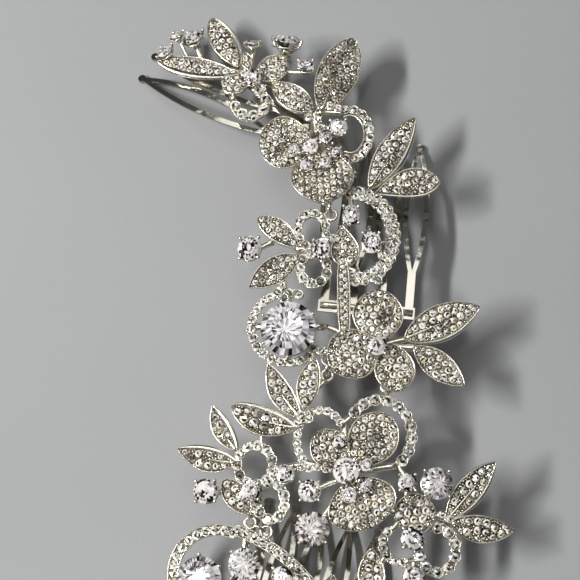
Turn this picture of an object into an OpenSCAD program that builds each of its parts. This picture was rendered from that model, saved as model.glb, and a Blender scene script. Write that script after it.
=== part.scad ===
// Bridal hair comb: a vine of pave-set flowers, leaves and scrolls on three flat metal combs.
// Millimetres. +X is to the right of the vine, +Y runs along it to its thin end, +Z away from the head.
// It lies as on a table: the tips of the comb tines stand at z = 0.
//
// The ornament is drawn flat, on a sheet square to the line of sight, with u to the right and v up.
// on_dome() carries a point of the drawing along its sight line to the dome that the castings follow,
// and a lift is the height of a point above that dome.

/* [Drawing] */
// Lean of the sight line from straight down, in degrees
sight_lean = 15; // [12:1:18]
// Distance of the eye from the middle of the sheet
eye_distance = 420; // [380:10:500]
// Height of the middle of the sheet
sheet_height = 8; // [6:1:10]

/* [Dome] */
// Height of the castings' underside at the crest
crest_height = 15; // [14.5:0.5:16]
// Radius of the dome across the vine
side_radius = 260; // [250:10:300]
// Radius of the dome along the vine
length_radius = 700; // [680:10:800]

/* [Leaves and petals] */
// Width of the raised polished rim
rim_width = 0.55; // [0.4:0.05:0.7]
// Height of the rim over the pave floor
rim_height = 0.45; // [0.3:0.05:0.6]
// Depth of a leaf's wall
leaf_depth = 1.5; // [1.2:0.1:1.6]
// Depth of a riveted petal's wall
petal_depth = 0.9; // [0.7:0.1:1]
// Rise of the pave floor at its middle
floor_crown = 0.35; // [0.2:0.05:0.5]

/* [Scrolls] */
// Depth of a scroll band
scroll_depth = 1.5; // [1.2:0.1:1.6]
// Depth of the stone channel between its two edges
channel_depth = 0.35; // [0.2:0.05:0.5]

/* [Stones] */
// Height of the crown as a share of the width
crown_share = 0.17; // [0.15:0.01:0.2]
// Depth of the pavilion as a share of the width
pavilion_share = 0.3; // [0.25:0.01:0.32]
// Width of the table as a share of the width
table_share = 0.56; // [0.5:0.02:0.6]
// Gap between a stone and its setting
seat_gap = 0.12; // [0.1:0.01:0.15]
// Radius of a claw
claw_r = 0.32; // [0.28:0.02:0.36]

/* [Combs] */
// Length of a comb from the tine tips to the back of the spine
comb_length = 50; // [49:1:51]
// Distance from tine to tine
tine_pitch = 7; // [6.9:0.1:7.2]
// Width of a looped tine
tine_width = 6.5; // [6:0.1:6.6]
// Width of the flat wire of a tine
wire_width = 1.3; // [1.1:0.05:1.4]
// Thickness of the stamped strip
strip_thickness = 0.8; // [0.7:0.05:0.9]
// Width of the spine
spine_width = 3; // [2.8:0.1:3.2]
// Bend radius of the comb
comb_bend = 110; // [105:1:115]

/* [Links] */
// Wire radius of a jump ring
link_wire_r = 0.4; // [0.35:0.05:0.45]
// Radius of an eyelet to the middle of its wire
eyelet_r = 1.35; // [1.3:0.05:1.4]
// Width and height of an eyelet's wire
eyelet_wire = 0.8; // [0.7:0.05:0.9]
// Radius of the bar that a comb is bound to
bar_r = 0.7; // [0.6:0.05:0.8]
// Wire radius of a binding ring
binding_wire_r = 0.3; // [0.25:0.05:0.35]

/* [Hidden] */
// Where the crest of the dome lies, and the middle of the piece, which becomes the origin
crest_x = 18;
crest_y = -25;
middle_x = 6.6;
middle_y = -18.4;
// Rings of a leaf, from its base to its tip
leaf_steps = 6;
petal_steps = 6;
// Outline powers: where a blade is widest, and how blunt its ends are
leaf_shape = [0.95, 0.7];
blunt_shape = [1.1, 0.55];
fan_shape = [1.45, 0.6];
petal_shape = [1.15, 0.5];
disc_shape = [1, 0.5];
// Largest turn and length of one straight step of a scroll
scroll_step = 41;
scroll_stride = 5.5;
// Sides of a small stone, of the centre stone, and of a stem
stone_sides = 8;
centre_sides = 12;
stem_sides = 5;
// Sides of a bar, of a cup and of a claw, and of an eyelet and a rivet
bar_sides = 8;
cup_sides = 5;
claw_sides = 3;
eyelet_sides = 10;
rivet_sides = 10;
// Width of the back of a leaf or scroll, as a share of its front
draw_in = 0.8;
bead = [0.80, 0.80, 0.78];
silver = [0.83, 0.83, 0.80];
pale_silver = [0.90, 0.89, 0.85];
crystal = [0.86, 0.88, 0.95];

// Leaves and plain petals of a casting:
// base u, base v, tip u, tip v, width, base lift, tip lift, roll (left edge up), outline,
// and how far the middle bows to the left
LEAVES_TOP = [
    [-13.5, 53.9, -33, 57.1, 5.8, 2, 3, -4, blunt_shape, 0],
    [-12.8, 55.8, -19.6, 67.8, 7.4, 2, 3.5, 10, blunt_shape, 0],
    [7.75, 44.5, 15.8, 62.8, 10.8, 2, 4, 0, blunt_shape, 0],
    [-10, 53.5, -17, 50.5, 7, 2.2, 2.2, 0, petal_shape, 0],
    [-8.5, 53, -0.6, 57.3, 7.6, 2.2, 2.6, 0, petal_shape, 0],
    [-4.5, 51.5, 5.5, 45, 7, 2, 2, 0, blunt_shape, 0],
    [-10.4, 55, -11.2, 59.4, 3.2, 2.2, 2.6, 0, leaf_shape, 0]
];
LEAVES_MIDDLE = [
    [19.8, 25.2, 31.25, 43, 7.9, 1.8, 4, 12, leaf_shape, 0],
    [21, 24, 37.5, 27.2, 7.6, 1.8, 3.5, 12, fan_shape, 0.9],
    [1.9, 10.8, -8, 18, 6, 1.8, 2.5, 8, blunt_shape, -0.4],
    [2.2, 8.6, -10.1, 0.8, 6.8, 1.8, 2.5, -8, leaf_shape, 0],
    [12.9, 16.1, 14.3, 5.6, 7.2, 2.4, 2, 0, fan_shape, 0],
    [28.5, -12.2, 47.4, -4.2, 9.2, 1.8, 4, 14, leaf_shape, 0],
    [31, -14.25, 43.6, -23.9, 7, 1.8, 2.5, 6, leaf_shape, 0]
];
LEAVES_LOWER = [
    [2.6, -32.1, -5.5, -18.5, 5.8, 1.8, 2.5, 0, leaf_shape, 0.9],
    [3.7, -30, 6.4, -17.1, 5.7, 1.8, 2.5, 0, leaf_shape, 0.4],
    [1.6, -34.6, -14.6, -29.2, 7.6, 1.8, 3, 8, blunt_shape, 0.9],
    [-13.3, -40.2, -19.4, -29, 5, 1.8, 2.5, -6, leaf_shape, 0.6],
    [-13.2, -43.2, -28, -39.75, 6.4, 1.8, 3, -6, leaf_shape, 0.7],
    [-10, -56, -16.5, -47.6, 6, 1.8, 2.2, 0, petal_shape, 0],
    [26, -56.1, 36.4, -55.8, 9.9, 2.2, 2.2, 0, disc_shape, 0],
    [39, -57.5, 51.25, -43, 7.2, 1.8, 4, 10, leaf_shape, 0],
    [40.1, -58.1, 56, -60.2, 6.7, 1.8, 2.5, 8, leaf_shape, -0.7],
    [20.5, -78, 20.25, -64.5, 6.5, 1.8, 1.8, 0, leaf_shape, 0]
];
LEAVES_END = [
    [-4, -102, -4.5, -114, 6, 1.8, 1.8, 0, leaf_shape, 0],
    [-5.5, -101, -17, -108, 5.5, 1.8, 1.8, 0, leaf_shape, 0],
    [-2.5, -101, 8.5, -107, 5.5, 1.8, 1.8, 0, leaf_shape, 0],
    [9.4, -79.6, 10.7, -71, 4.5, 1.8, 2, 0, leaf_shape, 0]
];
// Petals of the riveted flowers, in the same columns
PETALS_TOP = [
    [5.4, 37, -7.7, 36.7, 14.6, 3.7, 4, 0, petal_shape, 0],
    [8, 34.5, 8, 22, 16, 3.7, 4.4, 0, disc_shape, 0]
];
PETALS_MIDDLE = [
    [21.75, -12.5, 22.25, 0, 12.5, 3.7, 4.2, 0, disc_shape, 0],
    [20.9, -12.4, 10.3, -19.6, 13, 3.7, 4.2, 0, disc_shape, 0],
    [25, -13.6, 27.2, -25.3, 10, 3.7, 4, 0, petal_shape, 0]
];
PETALS_LOWER = [
    [13.5, -43.75, 6.5, -35.75, 9.5, 3.7, 4, 0, disc_shape, 0],
    [16, -43.5, 25, -31.5, 12, 3.7, 4.2, 0, petal_shape, 0],
    [15, -47.2, 20.6, -59.4, 17, 3.7, 4, 0, petal_shape, 0]
];
// Scrolls of a casting:
// centre u, centre v, radius u, radius v, start angle, end angle, end size, width, lift
SCROLLS_TOP = [
    [-10, 47, 4, 3.4, 75, -185, 1, 3.1, 1.8],
    [15, 39, 5, 6.25, 118, -115, 1, 2.4, 1.8]
];
SCROLLS_MIDDLE = [
    [16.6, 13, 9.7, 11.25, 105, -112, 0.9, 3.6, 1.8],
    [5.5, 15, 3.55, 4.3, 0, 360, 1, 2.4, 1.8],
    [5.9, 5.4, 3.4, 3.8, 0, 360, 1, 2.7, 1.8],
    [-0.5, -9.4, 9.25, 8.7, 66, 312, 1, 2.4, 1.8]
];
SCROLLS_LOWER = [
    [7.75, -37.5, 6, 7.5, 28, 228, 1, 2.2, 1.8],
    [22.4, -36.3, 8.1, 8.9, 150, -56, 1, 3, 1.8],
    [-8.8, -43.7, 4.4, 4.9, 0, 360, 1, 2.6, 1.8],
    [-4.8, -52.7, 3.5, 4.7, 0, 360, 1, 2.8, 1.8],
    [36.9, -65, 4.6, 5.6, 110, -215, 1, 3, 1.8],
    [27.6, -63.6, 4.5, 4.5, 120, 292, 1, 2.3, 1.8]
];
SCROLLS_END = [
    [-18.25, -71, 11, 11, 62, 262, 1, 2.8, 1.8],
    [-28, -100, 42.5, 42.5, 71, 21, 1, 2.8, 1.8],
    [2, -88.5, 9.7, 12, 22, -122, 1, 2.6, 1.8],
    [-6, -82.5, 16, 18, 176, 262, 1, 2.6, 1.8]
];
// Straight stems of a casting: from u, from v, from lift, to u, to v, to lift, radius
STEMS_TOP = [
    [-27, 57, 1.2, -11, 54, 1.2, 0.9],
    [-12, 54, 1.2, -4.5, 52.5, 1.2, 1.3],
    [-5, 52, 1.2, 6, 44.5, 1.2, 1.3],
    [6, 45, 1.2, 6.5, 36.5, 1.1, 1.3],
    [7, 44.5, 1.2, 13.5, 44.2, 1.2, 1],
    [6.5, 36.5, 1.2, 13.5, 33.6, 1.2, 1],
    [6.5, 36, 1.2, 8.9, 27, 1, 1],
    [8.9, 27, 1, 9.1, 24, 0.4, 1],
    [-14.2, 47.4, 1.2, -14, 51, 1.2, 0.8],
    [-9, 49.5, 1.2, -8, 53, 1.2, 0.9]
];
STEMS_MIDDLE = [
    [20, 24.5, 1, 17, 24, 1, 1],
    [7.6, 18.2, 1, 9.1, 18.5, 0.4, 0.7],
    [13.4, 6, 1, 16.8, 4.4, 1, 0.9],
    [8.6, 12.5, 1, 13, 12.5, 1, 0.9],
    [1.5, 10.2, 1, 6, 10.2, 1, 1],
    [13.2, 7, 1.1, 13.6, -10, 1.1, 1.4],
    [13.6, -10, 1.1, 21.75, -14, 1.1, 1.2],
    [5.6, -15.6, 1, 21.75, -14, 1, 1],
    [-1.3, -0.9, 1, -1.8, 6, 1, 0.7],
    [21.75, -14, 1, 29.5, -12.2, 1, 1.2],
    [21.75, -14, 1, 32, -14.6, 1, 1.2],
    [-9.6, -9.25, 1.2, 9, -9.25, 1.2, 1],
    [9, -9.25, 1.2, 14, -11, 1.2, 0.9],
    [-0.5, -1, 1.2, -0.5, -17.5, 1.2, 1],
    [24.8, -15, 0.9, 24.5, -19, 0.4, 0.9],
    [9.3, -15.2, 0.8, 9.3, -16.2, 0.4, 0.7]
];
STEMS_LOWER = [
    [3.5, -31, 1.2, 5.8, -31, 1.2, 1],
    [9, -22.6, 0.4, 5.4, -26, 1.2, 0.7],
    [24.2, -25.6, 0.5, 24.2, -27, 1, 0.8],
    [15.1, -31.8, 1, 12.6, -34, 1, 1],
    [13.4, -33.5, 1, 15.5, -45.3, 1, 1.2],
    [15.5, -45.3, 1, 26.9, -43.9, 1, 1.2],
    [26.9, -43.7, 1.2, 29.3, -47.3, 1.6, 0.7],
    [15.5, -45.3, 1, 3.5, -43.2, 1, 1],
    [-5.2, -45, 1.2, 3.5, -43.5, 1.2, 1],
    [-7, -35.5, 1.2, -7.2, -40, 1.2, 0.7],
    [-13, -41, 1.2, -12.8, -43.5, 1.2, 1],
    [-10.5, -55.5, 1.2, -7.2, -55.6, 1.2, 1],
    [5.75, -59.75, 1.5, 14, -50, 1, 0.8],
    [15.5, -45.3, 1, 20.5, -54, 1, 1.2],
    [20.5, -54, 1, 28, -56, 1, 1.2],
    [34.5, -55.8, 1.2, 40.5, -57.8, 1.2, 1.1],
    [35.5, -57.5, 1.2, 37, -59.4, 1.2, 1],
    [25.3, -60, 1.2, 28, -57, 1.2, 0.9],
    [28.5, -68, 1.2, 34, -67.5, 1.2, 1],
    [20.8, -70, 1.2, 24, -66.5, 1.2, 0.9],
    [-10, -56.8, 0.4, -10.3, -54.8, 1.2, 0.8]
];
STEMS_END = [
    [-30.2, -71.5, 1.2, -22.5, -72, 1.5, 1],
    [-11.2, -61.5, 1.2, -11.5, -69, 1.5, 0.9],
    [0.2, -68.5, 1.2, -2, -71.5, 1.5, 0.9],
    [-22.2, -82.3, 1.2, -21.5, -76, 1.2, 1],
    [-21, -78, 1.2, 9.5, -79, 1.2, 1],
    [-6, -79, 1.2, -5.5, -92, 1.2, 1],
    [-5.5, -92, 1.2, -4, -103, 1.2, 1.2],
    [-5, -99.5, 1.2, -10, -99.5, 1.2, 1],
    [-5.9, -61.9, 0.4, -5.9, -63.8, 1, 0.8],
    [-13.6, -61, 1.2, -14, -60.4, 1.2, 1]
];
// Set stones:
// casting, u, v, lift of the girdle, width, length share, lean right, lean up (degrees),
// and the u, v of the metal that the setting's stem springs from
STONES = [
    ["top", -31.25, 59.75, 4.5, 4.25, 1, -25, 20, -28, 55.75],
    ["top", -28.25, 63.75, 4, 3.25, 1, -15, 35, -25, 57],
    ["top", -24.25, 63.25, 4.8, 5.5, 1.1, -12, 30, -22, 56.5],
    ["top", -9.3, 61.7, 4, 4.3, 1, 0, 60, -10, 54.5],
    ["top", -0.75, 62.3, 4.4, 8.2, 1, 8, 60, -4, 55.5],
    ["top", 4, 56.2, 4.8, 4.4, 1, 5, 25, -3, 54.5],
    ["top", -9.5, 53.3, 5, 4.6, 1, 0, 0, -9.5, 53.5],
    ["top", 12, 40.7, 4.4, 4.7, 1, -8, 0, 6.5, 41.5],
    ["flower_top", 5, 36, 6, 4, 1, -6, 0, 6, 36],
    ["flower_top", 9.1, 38, 6, 3.6, 1, 6, 4, 7.25, 36.4],
    ["flower_top", 1.1, 35.3, 5.6, 2.9, 1, 0, 0, 1.4, 35.75],
    ["flower_top", 4.1, 31.2, 5.6, 3.2, 1, 0, 0, 5.5, 31.5],
    ["flower_top", 8.75, 32, 5.8, 3, 1, 0, 0, 8.5, 32.25],
    ["middle", -10.2, 10.5, 4.4, 5.9, 1.12, -6, 0, -4.25, 12],
    ["middle", 7.8, 10.3, 4.8, 4.3, 1.25, 0, 0, 7, 10.2],
    ["middle", 15.3, 18.8, 5, 4.4, 1.2, 0, 0, 15.25, 24],
    ["middle", 20.3, 12, 4.4, 4.9, 1.18, 0, 0, 26.3, 12.25],
    ["middle", -0.45, -9.7, 6, 13.4, 1, -4, 0, -0.5, -9],
    ["flower_middle", 21.75, -13.9, 6, 4.75, 1, 0, 0, 21.75, -13.75],
    ["lower", -1.5, -45.8, 4.4, 5, 1, 0, 28, -1, -44.25],
    ["lower", -21.1, -50.3, 4.4, 6.1, 1, -8, 0, -14, -50.5],
    ["lower", -9.9, -50.4, 4.8, 4.5, 1, 0, 0, -8.25, -51.5],
    ["lower", 4.9, -50.2, 4.6, 5.4, 1, 0, 0, 14, -46.5],
    ["lower", 5.6, -59.8, 5.2, 8.1, 1, 0, 0, 14.5, -48],
    ["flower_lower", 14, -45.2, 6.2, 6.25, 1, 0, 0, 15, -45.1],
    ["flower_lower", 12.4, -37.9, 6, 3.6, 1, 0, 0, 11, -39],
    ["flower_lower", 18.9, -43.6, 6, 3.25, 1, 0, 0, 18.25, -41.75],
    ["flower_lower", 18.9, -49.1, 6, 3.25, 1, 0, 0, 17.5, -49.75],
    ["flower_lower", 14.6, -51.2, 6, 3.8, 1, 0, 0, 15.5, -50.5],
    ["lower", 29.4, -48.1, 4.4, 4.4, 1, 0, 0, 29, -54.5],
    ["lower", 36.75, -48.4, 5.4, 7.6, 1, 6, 0, 33, -55],
    ["lower", 30.7, -62, 4.6, 5.4, 1, 0, 0, 31, -57.5],
    ["lower", 31, -71.5, 4.4, 5, 1, 0, 0, 31, -67.8],
    ["end", -22.6, -72.2, 5.6, 10.5, 1, -4, 0, -22.5, -72],
    ["end", -11.5, -68.7, 5, 7.4, 1.06, 0, 0, -11.25, -64.5],
    ["end", -2, -71.75, 4.4, 5, 1, 0, 0, -0.5, -69.5],
    ["end", -5.6, -89, 4.6, 6, 1, 0, 0, -5.5, -88.5],
    ["flower_top", 11.5, 34.5, 5.6, 2.8, 1, 0, 0, 9.6, 34]
];
// Where each flower's rivet stands: u, v
RIVETS = [["top", 6.5, 36], ["middle", 21.75, -14], ["lower", 15.5, -45.3]];
// Jump rings: name, casting above, its eyelet u, v, casting below, its eyelet u, v
LINKS = [
    ["jump_ring_top", "top", 9.2, 22.6, "middle", 10.3, 18.7],
    ["jump_ring_inner", "middle", 9.3, -17.4, "lower", 9.3, -21.3],
    ["jump_ring_outer", "middle", 24.5, -20.4, "lower", 24.2, -24.3],
    ["jump_ring_lower", "lower", -9.9, -58.2, "end", -5.9, -60.5]
];
// Lift of the eyelets
eyelet_lift = 0.2;
// Combs: casting, tip u, tip v, direction of the tines (degrees from +X), pitch, tines
COMBS = [
    ["top", -36.15, 55.65, 152, -0.5, 2],
    ["middle", 22.5, 37, 84.5, 3, 4],
    ["end", 8.5, -55.75, 75, -2.9, 5]
];
// Posts from a comb's bar up into its casting: casting, place along the bar, u, v and lift of the metal
POSTS = [
    ["top", -3.5, 6.5, 38.5, 1.2],
    ["top", 3.5, 7.6, 44.4, 1.2],
    ["middle", -5, 13.4, -4.5, 1.2],
    ["middle", 4, 24.5, -13.4, 1],
    ["end", -3.5, -8.5, -102.8, 1.2],
    ["end", 3.5, 0.5, -102.6, 1.2]
];

function unit(v) = v / norm(v);
function row_of(table, name) = [for (r = table) if (r[0] == name) r][0];
function stone_name(i) = i == CENTRE ? "stone_centre" : str("stone_", i < 9 ? "0" : "", i + 1);
CENTRE = 17;

// The eye, and the point of the drawing sheet at u, v
eye = [0, -eye_distance * sin(sight_lean), sheet_height + eye_distance * cos(sight_lean)];
function sheet(u, v) = [u, v * cos(sight_lean), sheet_height + v * sin(sight_lean)];

// The point at height z on the sight line through u, v
function at_height(u, v, z) =
    let (s = sheet(u, v), t = (eye.z - z) / (eye.z - s.z))
    eye + t * (s - eye);

// Height and upward normal of the dome over a point
function dome_z(p) =
    crest_height - pow(p.x - crest_x, 2) / (2 * side_radius) - pow(p.y - crest_y, 2) / (2 * length_radius);
function dome_normal(p) = unit([(p.x - crest_x) / side_radius, (p.y - crest_y) / length_radius, 1]);

// The point that lies lift above the dome on the sight line through u, v, found in a few rounds
function settle(u, v, lift, z, rounds) =
    rounds == 0
        ? at_height(u, v, z)
        : settle(u, v, lift, dome_z(at_height(u, v, z)) + lift, rounds - 1);
function on_dome(u, v, lift) = settle(u, v, lift, crest_height, 5);

// A module's children with their own axes x, y, z turned to three unit vectors and set at p
module set_at(p, x, y, z) {
    multmatrix([[x.x, y.x, z.x, p.x], [x.y, y.y, z.y, p.y], [x.z, y.z, z.z, p.z], [0, 0, 0, 1]])
        children();
}

// The same, with z along a direction and x as level as it can be
module set_along(p, z) {
    y = unit(cross(z, [1, 0.01, 0]));
    set_at(p, cross(y, z), y, z) children();
}

// Faces of a solid whose rings of k points follow one another, with flat ends or closed on itself
function skin_faces(rings, k, closed) =
    let (last = closed ? rings : rings - 1)
    concat(
        [for (i = [0:last - 1], j = [0:k - 1])
            let (a = i * k, b = ((i + 1) % rings) * k, n = (j + 1) % k)
            [a + j, a + n, b + n]],
        [for (i = [0:last - 1], j = [0:k - 1])
            let (a = i * k, b = ((i + 1) % rings) * k, n = (j + 1) % k)
            [a + j, b + n, b + j]],
        closed ? [] : [[for (j = [k - 1:-1:0]) j]],
        closed ? [] : [[for (j = [0:k - 1]) (rings - 1) * k + j]]
    );

// A stem: a straight round bar, a little thinner at its far end
module stem(p, q, r) {
    d = unit(q - p);
    thin = 0.1;
    hull() {
        set_along(p, d) cylinder(h=thin, r1=r, r2=0, $fn=stem_sides);
        set_along(q - thin * d, d) cylinder(h=thin, r1=0, r2=0.9 * r, $fn=stem_sides);
    }
}

module stems(table) {
    for (s = table)
        stem(on_dome(s[0], s[1], s[2]), on_dome(s[3], s[4], s[5]), s[6]);
}

// A leaf or petal: a raised rim round a crowned floor, over a wall that draws in below.
// Half width at t is width / 2 * sin(180 t^a)^b, where t runs from the base to the tip, and the
// middle line bows to the left by bow * sin(180 t).
module blade(row, depth, steps) {
    p = on_dome(row[0], row[1], row[5]);
    q = on_dome(row[2], row[3], row[6]);
    axis = unit(q - p);
    flat_side = unit(cross(dome_normal((p + q) / 2), axis));
    flat_up = cross(axis, flat_side);
    side = cos(row[7]) * flat_side + sin(row[7]) * flat_up;
    up = cross(axis, side);
    half_end = 0.35;
    least_floor = 0.25;
    function half_at(t) = max(half_end, row[4] / 2 * pow(sin(180 * pow(t, row[8][0])), row[8][1]));
    function section(h) =
        let (c = max(least_floor, 1 - rim_width / h))
        [[-h, rim_height], [-c * h, 0], [0, floor_crown * c], [c * h, 0], [h, rim_height],
            [draw_in * h, -depth], [-draw_in * h, -depth]];
    points = [
        for (i = [0:steps])
            let (t = 0.5 - 0.5 * cos(180 * i / steps))
            for (s = section(half_at(t)))
                p + t * (q - p) + (s.x + row[9] * sin(180 * t)) * side + s.y * up
    ];
    polyhedron(points, skin_faces(steps + 1, 7, false));
}

// A scroll: a band with two raised edges and a stone channel, along an ellipse whose size
// changes evenly from 1 at the start angle to the end size at the end angle
module scroll(row) {
    turn = row[5] - row[4];
    closed = abs(turn) >= 360;
    length = abs(turn) * PI / 180 * (row[2] + row[3]) / 2;
    steps = max(ceil(abs(turn) / scroll_step), ceil(length / scroll_stride));
    rings = closed ? steps : steps + 1;
    half = row[7] / 2;
    function path(a) =
        let (g = 1 + (row[6] - 1) * (a - row[4]) / turn)
        on_dome(row[0] + g * row[2] * cos(a), row[1] + g * row[3] * sin(a), row[8]);
    points = [
        for (i = [0:rings - 1])
            let (
                a = row[4] + turn * i / steps,
                p = path(a),
                forward = unit(path(a + turn / 200) - path(a - turn / 200)),
                side = unit(cross(dome_normal(p), forward)),
                up = cross(forward, side)
            )
            for (s = [[-half, 0], [0, -channel_depth], [half, 0], [draw_in * half, -scroll_depth],
                    [-draw_in * half, -scroll_depth]])
                p + s.x * side + s.y * up
    ];
    polyhedron(points, skin_faces(rings, 5, closed));
}

// Axes of a stone: its girdle's middle, and the direction that its table faces; its stem's radius
function stem_r(s) = 0.4 + 0.08 * s[4];
function stone_middle(s) = on_dome(s[1], s[2], s[3]);
function stone_up(s) =
    let (n = dome_normal(stone_middle(s)))
    unit(n * cos(s[6]) * cos(s[7]) + [sin(s[6]), sin(s[7]), 0]);

module at_stone(s) {
    up = stone_up(s);
    right = unit(cross([0, 1, 0.01], up));
    set_at(stone_middle(s), right, cross(up, right), up) children();
}

// A cut stone: table, crown facets, girdle edge and a pointed pavilion
module stone(i) {
    s = STONES[i];
    n = i == CENTRE ? centre_sides : stone_sides;
    r = s[4] / 2;
    rings = [[table_share * r, crown_share * s[4]], [r, 0]];
    points = concat(
        [for (g = rings, k = [0:n - 1])
            let (a = 360 * (k + 0.5) / n)
            [g[0] * cos(a), s[5] * g[0] * sin(a), g[1]]],
        [[0, 0, -pavilion_share * s[4]]]
    );
    faces = concat(
        [[for (k = [n - 1:-1:0]) k]],
        [for (k = [0:n - 1]) [k, (k + 1) % n, n + (k + 1) % n]],
        [for (k = [0:n - 1]) [k, n + (k + 1) % n, n + k]],
        [for (k = [0:n - 1]) [n + k, n + (k + 1) % n, 2 * n]]
    );
    color(crystal) at_middle() at_stone(s) polyhedron(points, faces);
}

// The setting of a stone: a cup under the pavilion, with four claws up to the girdle and a stem
// down to the metal at the given lift
module setting(s, root_lift) {
    r = s[4] / 2;
    seat = -pavilion_share * s[4] - seat_gap;
    cup_height = min(1.6, 0.2 * s[4] + 0.5);
    foot = seat - cup_height;
    // How far the stem and the claws reach into the cup, and how far the claws pass the girdle
    bite = 0.5;
    claw_bite = 0.2;
    claw_pass = 0.25;
    stem(on_dome(s[8], s[9], root_lift), stone_middle(s) + (foot + bite) * stone_up(s), stem_r(s));
    at_stone(s) {
        translate([0, 0, foot]) cylinder(h=cup_height, r1=0.45 * r + 0.2, r2=0.7 * r, $fn=cup_sides);
        for (a = [45:90:315]) {
            reach = norm([cos(a), s[5] * sin(a)]);
            claw_side = r * reach + seat_gap + claw_r;
            rotate(a) translate([0.5 * r, 0, seat - claw_bite])
                claw(claw_side - 0.5 * r, claw_pass - seat + claw_bite);
        }
    }
}

// A claw that leans out by run over its height
module claw(run, height) {
    lean = atan2(run, height);
    rotate([0, lean, 0]) cylinder(h=norm([run, height]), r=claw_r, $fn=claw_sides);
}

module settings(casting, root_lift) {
    for (s = STONES)
        if (s[0] == casting) setting(s, root_lift);
}

// A closed ring of square wire, which a jump ring passes through
module eyelet(u, v) {
    p = on_dome(u, v, eyelet_lift);
    set_along(p, dome_normal(p)) difference() {
        cylinder(h=eyelet_wire, r=eyelet_r + eyelet_wire / 2, center=true, $fn=eyelet_sides);
        cylinder(h=2 * eyelet_wire, r=eyelet_r - eyelet_wire / 2, center=true, $fn=eyelet_sides);
    }
}

module eyelets(casting) {
    for (l = LINKS) {
        if (l[1] == casting) eyelet(l[2], l[3]);
        if (l[4] == casting) eyelet(l[5], l[6]);
    }
}

// A jump ring, upright through the middles of its two eyelets
module jump_ring(l) {
    a = on_dome(l[2], l[3], eyelet_lift);
    b = on_dome(l[5], l[6], eyelet_lift);
    along = unit(b - a);
    axis = unit(cross(dome_normal(a), along));
    color(silver) at_middle() set_at((a + b) / 2, along, cross(axis, along), axis)
        rotate_extrude($fn=48) translate([norm(b - a) / 2, 0]) circle(r=link_wire_r, $fn=24);
}

// The pad of a casting that carries a flower, and the flower's own rivet head on it
rivet_r = 2;
pad_lift = 2.4;
rivet_gap = 0.1;
rivet_height = 1.6;

module pad(row) {
    p = on_dome(row[1], row[2], 0);
    set_along(p, dome_normal(p)) cylinder(h=pad_lift, r=rivet_r + 0.2, $fn=rivet_sides);
}

module rivet(row) {
    p = on_dome(row[1], row[2], 0);
    set_along(p, dome_normal(p)) translate([0, 0, pad_lift + rivet_gap])
        cylinder(h=rivet_height, r=rivet_r, $fn=rivet_sides);
}

// Place of a comb: its tine tips lie along x at the origin, and the spine lies towards -y
module at_comb(row) {
    tip = at_height(row[1], row[2], 0);
    translate(tip) rotate([0, 0, row[3] - 90]) rotate([-row[4], 0, 0]) children();
}

// The bent strip that a comb is stamped from, between two cylinders across it
bend_top = -0.8 * comb_length;
bend_low = -sqrt(pow(comb_bend, 2) - pow(bend_top, 2));
module bent_strip(width) {
    translate([-width / 2, bend_top, bend_low]) rotate([0, 90, 0]) difference() {
        cylinder(h=width, r=comb_bend + strip_thickness, $fn=128);
        translate([0, 0, -1]) cylinder(h=width + 2, r=comb_bend, $fn=128);
    }
}

// Outline of one looped tine: two arcs that meet at a narrow root and a round tip
stem_length = 8;
loop_length = comb_length - spine_width - stem_length + 2;
tip_r = 1;
module lens(length, width) {
    sag = width / 2;
    r = (pow(length / 2, 2) + pow(sag, 2)) / (2 * sag);
    intersection() {
        translate([r - sag, 0]) circle(r=r, $fn=128);
        translate([sag - r, 0]) circle(r=r, $fn=128);
    }
}

module tine_outline() {
    inner = loop_length - 7;
    difference() {
        union() {
            translate([0, -loop_length / 2]) lens(loop_length, tine_width);
            translate([0, -tip_r]) circle(r=tip_r, $fn=24);
            translate([-tip_r, -comb_length + 1]) square([2 * tip_r, stem_length + 3]);
        }
        translate([0, -loop_length / 2]) lens(inner, tine_width - 2 * wire_width);
    }
}

module comb(row) {
    width = (row[5] - 1) * tine_pitch;
    spine_over = 1.5;
    color(pale_silver) at_middle() at_comb(row) intersection() {
        bent_strip(width + 2 * tine_width);
        translate([0, 0, -5]) linear_extrude(30) {
            for (i = [0:row[5] - 1])
                translate([i * tine_pitch - width / 2, 0]) tine_outline();
            translate([-width / 2 - spine_over, -comb_length])
                square([width + 2 * spine_over, spine_width]);
        }
    }
}

// Height of the strip's upper face at the spine's middle, and of the bar that lies over it
spine_y = -comb_length + spine_width / 2;
spine_top = bend_low + sqrt(pow(comb_bend + strip_thickness, 2) - pow(spine_y - bend_top, 2));
bar_gap = 0.2;
bar_z = spine_top + bar_gap + bar_r;

// A point of the bar, x from its middle
function on_bar(row, x) =
    let (y = spine_y * cos(row[4]) + bar_z * sin(row[4]), z = bar_z * cos(row[4]) - spine_y * sin(row[4]))
    let (a = row[3] - 90)
    at_height(row[1], row[2], 0) + [x * cos(a) - y * sin(a), x * sin(a) + y * cos(a), z];

// The bar of a casting that a comb is bound to, with posts up into the casting
post_r = 0.8;
module comb_bar(row) {
    bar_over = 1;
    half = (row[5] - 1) * tine_pitch / 2 + bar_over;
    color(silver) at_comb(row) translate([-half, spine_y, bar_z]) rotate([0, 90, 0])
        cylinder(h=2 * half, r=bar_r, $fn=bar_sides);
    for (s = POSTS)
        if (s[0] == row[0]) stem(on_bar(row, s[1]), on_dome(s[2], s[3], s[4]), post_r);
}

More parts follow.
